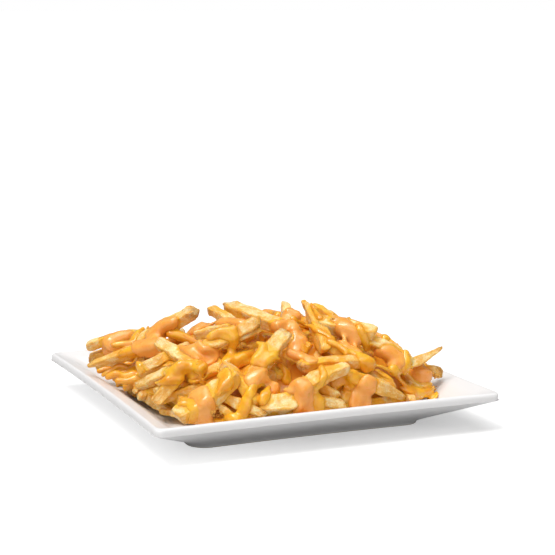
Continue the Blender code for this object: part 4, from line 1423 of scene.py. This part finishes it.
def crumb_tree():
    """A node tree that drops a craggy crumb at each point."""
    g, given = start_geometry("craggy_crumbs", {"Craggy": 0.5, "Seed": SEED})
    ball = g.wire("GeometryNodeMeshIcoSphere", {"Radius": 1.0, "Subdivisions": 2}, "Mesh")
    turns = {"Max": (CRUMB_TURN,) * 3, "Seed": given["Seed"]}
    turn = g.wire("FunctionNodeRandomValue", turns, data_type="FLOAT_VECTOR")
    laid = g.wire("GeometryNodeInstanceOnPoints", {
        "Points": given["Geometry"], "Instance": ball, "Rotation": turn, "Scale": read(g, "crumb")})
    loose = g.wire("GeometryNodeRealizeInstances", {0: laid})
    offset = g.jitter(g.wire("GeometryNodeInputPosition"), CRAG_SCALE) * (given["Craggy"] * CRAG_HEIGHT)
    shaped = g.wire("GeometryNodeSetPosition", {"Geometry": loose, "Offset": offset})
    return end_geometry(g, shaped, given["Finish"])


def make_crumbs(count, surface, material):
    """Crumbs where the photo shows them, and a few over the whole heap."""
    rng = np.random.default_rng(SEED + 5)
    eye = Vector(CAMERA_AT)
    places = []
    for u, v, spread, amount in CRUMBS_AT:
        for du, dv in rng.normal(0, spread / 2, (amount, 2)):
            hit = surface.ray_cast(eye, Vector(pixel_ray(u + du, v + dv)))[0]
            if hit is not None and abs(hit[0]) < EASE_REACH[0]:
                places.append(hit)
    for _ in range(count):
        angle = rng.uniform(-math.pi, math.pi)
        out = float(heap_edge(angle)) * CRUMB_REACH * math.sqrt(rng.uniform())
        above = Vector((HEAP_X + out * math.cos(angle), HEAP_Y + out * math.sin(angle), CRUMB_DROP))
        hit = surface.ray_cast(above, Vector((0, 0, -1)))[0]
        if hit is not None:
            places.append(hit)
    count = len(places)
    sizes = rng.uniform(*CRUMB_SIZE, (count, 1)) * rng.uniform(*CRUMB_STRETCH, (count, 3)) * MM
    obj = points_object("crisp_crumbs", np.array(places), {"crumb": sizes}, {})
    run_nodes(obj, crumb_tree(), {"Craggy": CRUMB_CRAGS, "Seed": SEED, "Finish": material})
    drop_attributes(obj, ("crumb",))
    return obj


# Studio


def add_sun(name, strength, angle, turn, tilt, colour):
    """A soft distant light that comes from a compass turn and a tilt off the vertical."""
    data = bpy.data.lights.new(name, "SUN")
    data.energy = strength
    data.angle = math.radians(angle)
    data.color = colour
    obj = bpy.data.objects.new(name, data)
    obj.rotation_euler = (math.radians(tilt), 0.0, math.radians(turn))
    bpy.context.scene.collection.objects.link(obj)


def set_world(level, backdrop):
    """Even light from all round, and a white backdrop behind the floor."""
    world = bpy.data.worlds.new("white_studio")
    world.use_nodes = True
    bpy.context.scene.world = world
    g = Graph(world.node_tree)
    shade = world.node_tree.nodes["Background"]
    shade.inputs["Color"].default_value = (1.0, 1.0, 1.0, 1.0)
    seen = g.wire("ShaderNodeLightPath", output="Is Camera Ray")
    g.plug(shade.inputs["Strength"], g.ramp(seen, 0.0, 1.0, level, backdrop))


def add_camera():
    """The camera that took the photograph."""
    data = bpy.data.cameras.new("photo_camera")
    data.lens = LENS
    data.sensor_width = SENSOR
    data.clip_start = 0.05
    data.clip_end = 200.0
    obj = bpy.data.objects.new("photo_camera", data)
    forward, right, up = (Vector(axis) for axis in camera_axes())
    turned = Matrix((right, up, -forward)).transposed().to_4x4()
    obj.matrix_world = Matrix.Translation(Vector(CAMERA_AT) * MM) @ turned
    bpy.context.scene.collection.objects.link(obj)
    bpy.context.scene.camera = obj


# Settings that a user would change


def colour_setting(name, description, value):
    """A linear colour that the sidebar shows as a swatch."""
    return FloatVectorProperty(name=name, description=description, default=value, size=3, min=0.0, max=1.0,
                               subtype="COLOR")


def length_setting(name, description, value, low, high):
    """A length in metres."""
    return FloatProperty(name=name, description=description, default=value, min=low, max=high,
                         subtype="DISTANCE", unit="LENGTH")


def strength_setting(name, description, value):
    """A strength from nothing upwards."""
    return FloatProperty(name=name, description=description, default=value, min=0.0)


class PlateSettings(bpy.types.PropertyGroup):
    """Colours of the plate."""

    glaze: colour_setting("Glaze", "Colour of the white glaze", (0.84, 0.835, 0.84))
    clay: colour_setting("Clay", "Colour of the bare clay under the foot", (0.62, 0.57, 0.50))


class FrySettings(bpy.types.PropertyGroup):
    """Shape and colours of the fries."""

    edge_round: length_setting("Edge Round", "Radius of a fry's long edges", 0.0016, 0.0003, 0.003)
    lump_height: length_setting("Lump Height", "Height of a fry's soft lumps", 0.0013, 0.0, 0.003)
    blister_height: length_setting("Blister Height", "Height of the fine blisters", 0.0003, 0.0, 0.002)
    raggedness: FloatProperty(name="Raggedness", description="How much rougher the browned ends are",
                              default=2.6, min=0.0, max=6.0)
    pale: colour_setting("Pale", "Colour of a fry's cut faces", (0.96, 0.79, 0.43))
    golden: colour_setting("Golden", "Colour of its fried edges", (0.86, 0.47, 0.09))
    brown: colour_setting("Brown", "Colour of its crisp ends", (0.46, 0.18, 0.025))
    crumbs: IntProperty(name="Crumbs", description="Crumbs strewn over the whole heap", default=60, min=0)


class CheeseSettings(bpy.types.PropertyGroup):
    """Colours of the cheese."""

    # The deep colours are also where the cheese lies low and thin on the fries, partly thin-layer colour
    # and partly painted shade
    sauce: colour_setting("Sauce", "Light colour of the cheese sauce", (0.94, 0.43, 0.088))
    sauce_deep: colour_setting("Deep Sauce", "Deeper colour that the sauce drifts to", (0.87, 0.335, 0.045))
    cheddar: colour_setting("Cheddar", "Light colour of the melted cheddar", (0.90, 0.47, 0.028))
    deep: colour_setting("Deep Cheddar", "Deeper colour that the cheddar drifts to", (0.80, 0.32, 0.010))
    # Colour of the cheese that fills the heap, deep orange so that the gaps between the fries read as
    # shaded: partly cheese, partly painted shade
    soaked: colour_setting("Soaked", "Colour deep in the heap", (0.85, 0.31, 0.006))


class StudioSettings(bpy.types.PropertyGroup):
    """Floor and lights."""

    floor: colour_setting("Floor", "Colour of the floor", (0.66, 0.66, 0.66))
    key: strength_setting("Key", "Strength of the light from the upper left", 1.6)
    top: strength_setting("Top", "Strength of the broad light from above", 1.35)
    front: strength_setting("Front", "Strength of the soft light from the front", 0.75)
    ambient: strength_setting("Ambient", "Strength of the light from all round", 0.22)
    glow: strength_setting("Floor Glow", "Light that the floor adds to the picture alone", 0.40)


# Operators, one for each group of pieces


class CHEESEFRIES_OT_plate(bpy.types.Operator):
    """Make the glazed square plate"""

    bl_idname = "cheese_fries.plate"
    bl_label = "Plate"

    def execute(self, context):
        plate = make_plate(glaze_material(context.scene.cheese_fries_plate))
        take_frame(plate, "white_glaze", "plate")
        return {"FINISHED"}


class CHEESEFRIES_OT_fries(bpy.types.Operator):
    """Cut, fry and heap the fries over their soaked core"""

    bl_idname = "cheese_fries.fries"
    bl_label = "Fries"

    def execute(self, context):
        settings = context.scene.cheese_fries_fries
        cheese = context.scene.cheese_fries_cheese
        material = fry_material(settings, cheese)
        # The soaked core: cheese that fills the heap under the fries, in its colour and a darker copy,
        # partly painted shade in the gaps
        soaked = cheese_material("soaked_cheese", cheese.soaked, dimmed(cheese.soaked, 0.8),
                                 drift=1.0, roughness=0.42, scatter=0.001)
        thinned = air_over_heap().melt[::MELT_COARSE, ::MELT_COARSE, ::MELT_COARSE]
        net = surface_net(thinned, CELL * MELT_COARSE)
        pieces = [set_cheese("soaked_core", net, soaked, rounds=1)]
        tree = fry_tree()
        heap, hidden = lay_fries(), lay_hidden_fries()
        shown = np.arange(len(heap["width"])) < len(SHOWN_FRIES)
        groups = ((heap, shown), (heap, ~shown), (hidden, slice(None)))
        for (name, cuts), (fries, pick) in zip(FRY_PIECES.items(), groups):
            piece = make_fries(name, fries, pick, tree, settings, cuts, material)
            raise_off_plate(piece)
            pieces.append(piece)
        for piece in pieces:
            take_frame(piece, "golden_fries", "fries_heap")
        return {"FINISHED"}


class CHEESEFRIES_OT_cheese(bpy.types.Operator):
    """Pour the cheese sauce and the melted cheddar over the fries"""

    bl_idname = "cheese_fries.cheese"
    bl_label = "Cheese"

    def execute(self, context):
        settings = context.scene.cheese_fries_cheese
        rng = np.random.default_rng(SEED + 3)
        air, surface = air_over_heap(), surface_of()
        cheddar = poured(air, CHEDDAR_AT, LOOSE_CHEDDAR, surface, rng)
        sauce = poured(air, SAUCE_AT, LOOSE_SAUCE, surface, rng)
        finish = cheese_material("melted_cheddar", settings.cheddar, settings.deep,
                                 drift=0.9, roughness=0.2, scatter=0.0012)
        melted = set_cheese("melted_cheddar", surface_net(air.off_plate(cheddar)), finish, rounds=2)
        finish = cheese_material("cheese_sauce", settings.sauce, settings.sauce_deep,
                                 drift=0.6, roughness=0.24, scatter=0.0016)
        ribbons = set_cheese("cheese_sauce", surface_net(air.off_plate(sauce)), finish, rounds=3)
        spread_film(air, (cheddar, sauce))
        # How high each point of the cheese stands over the heap: the material gives lower, thinner cheese
        # its deep colour, partly thin-layer colour and partly painted shade
        for piece in (melted, ribbons):
            depth = np.clip(air.read(air.over_heap, points_of(piece)) / THICK_AT, 0, 1).astype(np.float32)
            piece.data.attributes.new("thick", "FLOAT", "POINT").data.foreach_set("value", depth)
        take_frame(melted, "melted_cheddar", "fries_heap")
        take_frame(ribbons, "cheese_sauce", "fries_heap")
        return {"FINISHED"}


class CHEESEFRIES_OT_crumbs(bpy.types.Operator):
    """Strew crisp crumbs over the heap"""

    bl_idname = "cheese_fries.crumbs"
    bl_label = "Crumbs"

    def execute(self, context):
        settings = context.scene.cheese_fries_fries
        surface = surface_of("melted_cheddar", "cheese_sauce")
        crumbs = make_crumbs(settings.crumbs, surface, crumb_material(settings))
        take_frame(crumbs, "golden_fries", "fries_heap")
        return {"FINISHED"}


class CHEESEFRIES_OT_studio(bpy.types.Operator):
    """Set up the floor, the lights and the camera"""

    bl_idname = "cheese_fries.studio"
    bl_label = "Studio"

    def execute(self, context):
        settings = context.scene.cheese_fries_studio
        corners = [(x * FLOOR_REACH, y * FLOOR_REACH, 0) for x, y in ((-1, -1), (1, -1), (1, 1), (-1, 1))]
        material = floor_material(settings.floor, settings.glow)
        floor = new_piece("studio_floor", corners, [(0, 1, 2, 3)], material)
        for name, light in LIGHTS.items():
            add_sun(f"{name}_light", getattr(settings, name), *light)
        set_world(settings.ambient, backdrop=1.0)
        add_camera()
        context.scene.view_settings.view_transform = "Standard"
        return {"FINISHED"}


class CHEESEFRIES_PT_panel(bpy.types.Panel):
    """Lists the settings and the steps in the sidebar"""

    bl_idname = "CHEESEFRIES_PT_panel"
    bl_label = "Cheese Fries"
    bl_space_type = "VIEW_3D"
    bl_region_type = "UI"
    bl_category = "Cheese Fries"

    def draw(self, context):
        scene = context.scene
        for group in GROUPS:
            settings = getattr(scene, group)
            box = self.layout.box()
            for name in settings.__annotations__:
                box.prop(settings, name)
        for operator in OPERATORS:
            self.layout.operator(operator.bl_idname)


GROUPS = {
    "cheese_fries_plate": PlateSettings,
    "cheese_fries_fries": FrySettings,
    "cheese_fries_cheese": CheeseSettings,
    "cheese_fries_studio": StudioSettings,
}
OPERATORS = (
    CHEESEFRIES_OT_plate,
    CHEESEFRIES_OT_fries,
    CHEESEFRIES_OT_cheese,
    CHEESEFRIES_OT_crumbs,
    CHEESEFRIES_OT_studio,
)
CLASSES = (*GROUPS.values(), *OPERATORS, CHEESEFRIES_PT_panel)


def register():
    """Register the classes and give the scene its settings."""
    for each in CLASSES:
        bpy.utils.register_class(each)
    for name, group in GROUPS.items():
        setattr(bpy.types.Scene, name, PointerProperty(type=group))


def unregister():
    """Take the settings and the classes away again."""
    for name in GROUPS:
        delattr(bpy.types.Scene, name)
    for each in reversed(CLASSES):
        bpy.utils.unregister_class(each)


def main():
    """Build every piece in order."""
    register()
    bpy.ops.cheese_fries.plate()
    bpy.ops.cheese_fries.fries()
    bpy.ops.cheese_fries.cheese()
    bpy.ops.cheese_fries.crumbs()
    bpy.ops.cheese_fries.studio()


if __name__ == "__main__":
    main()
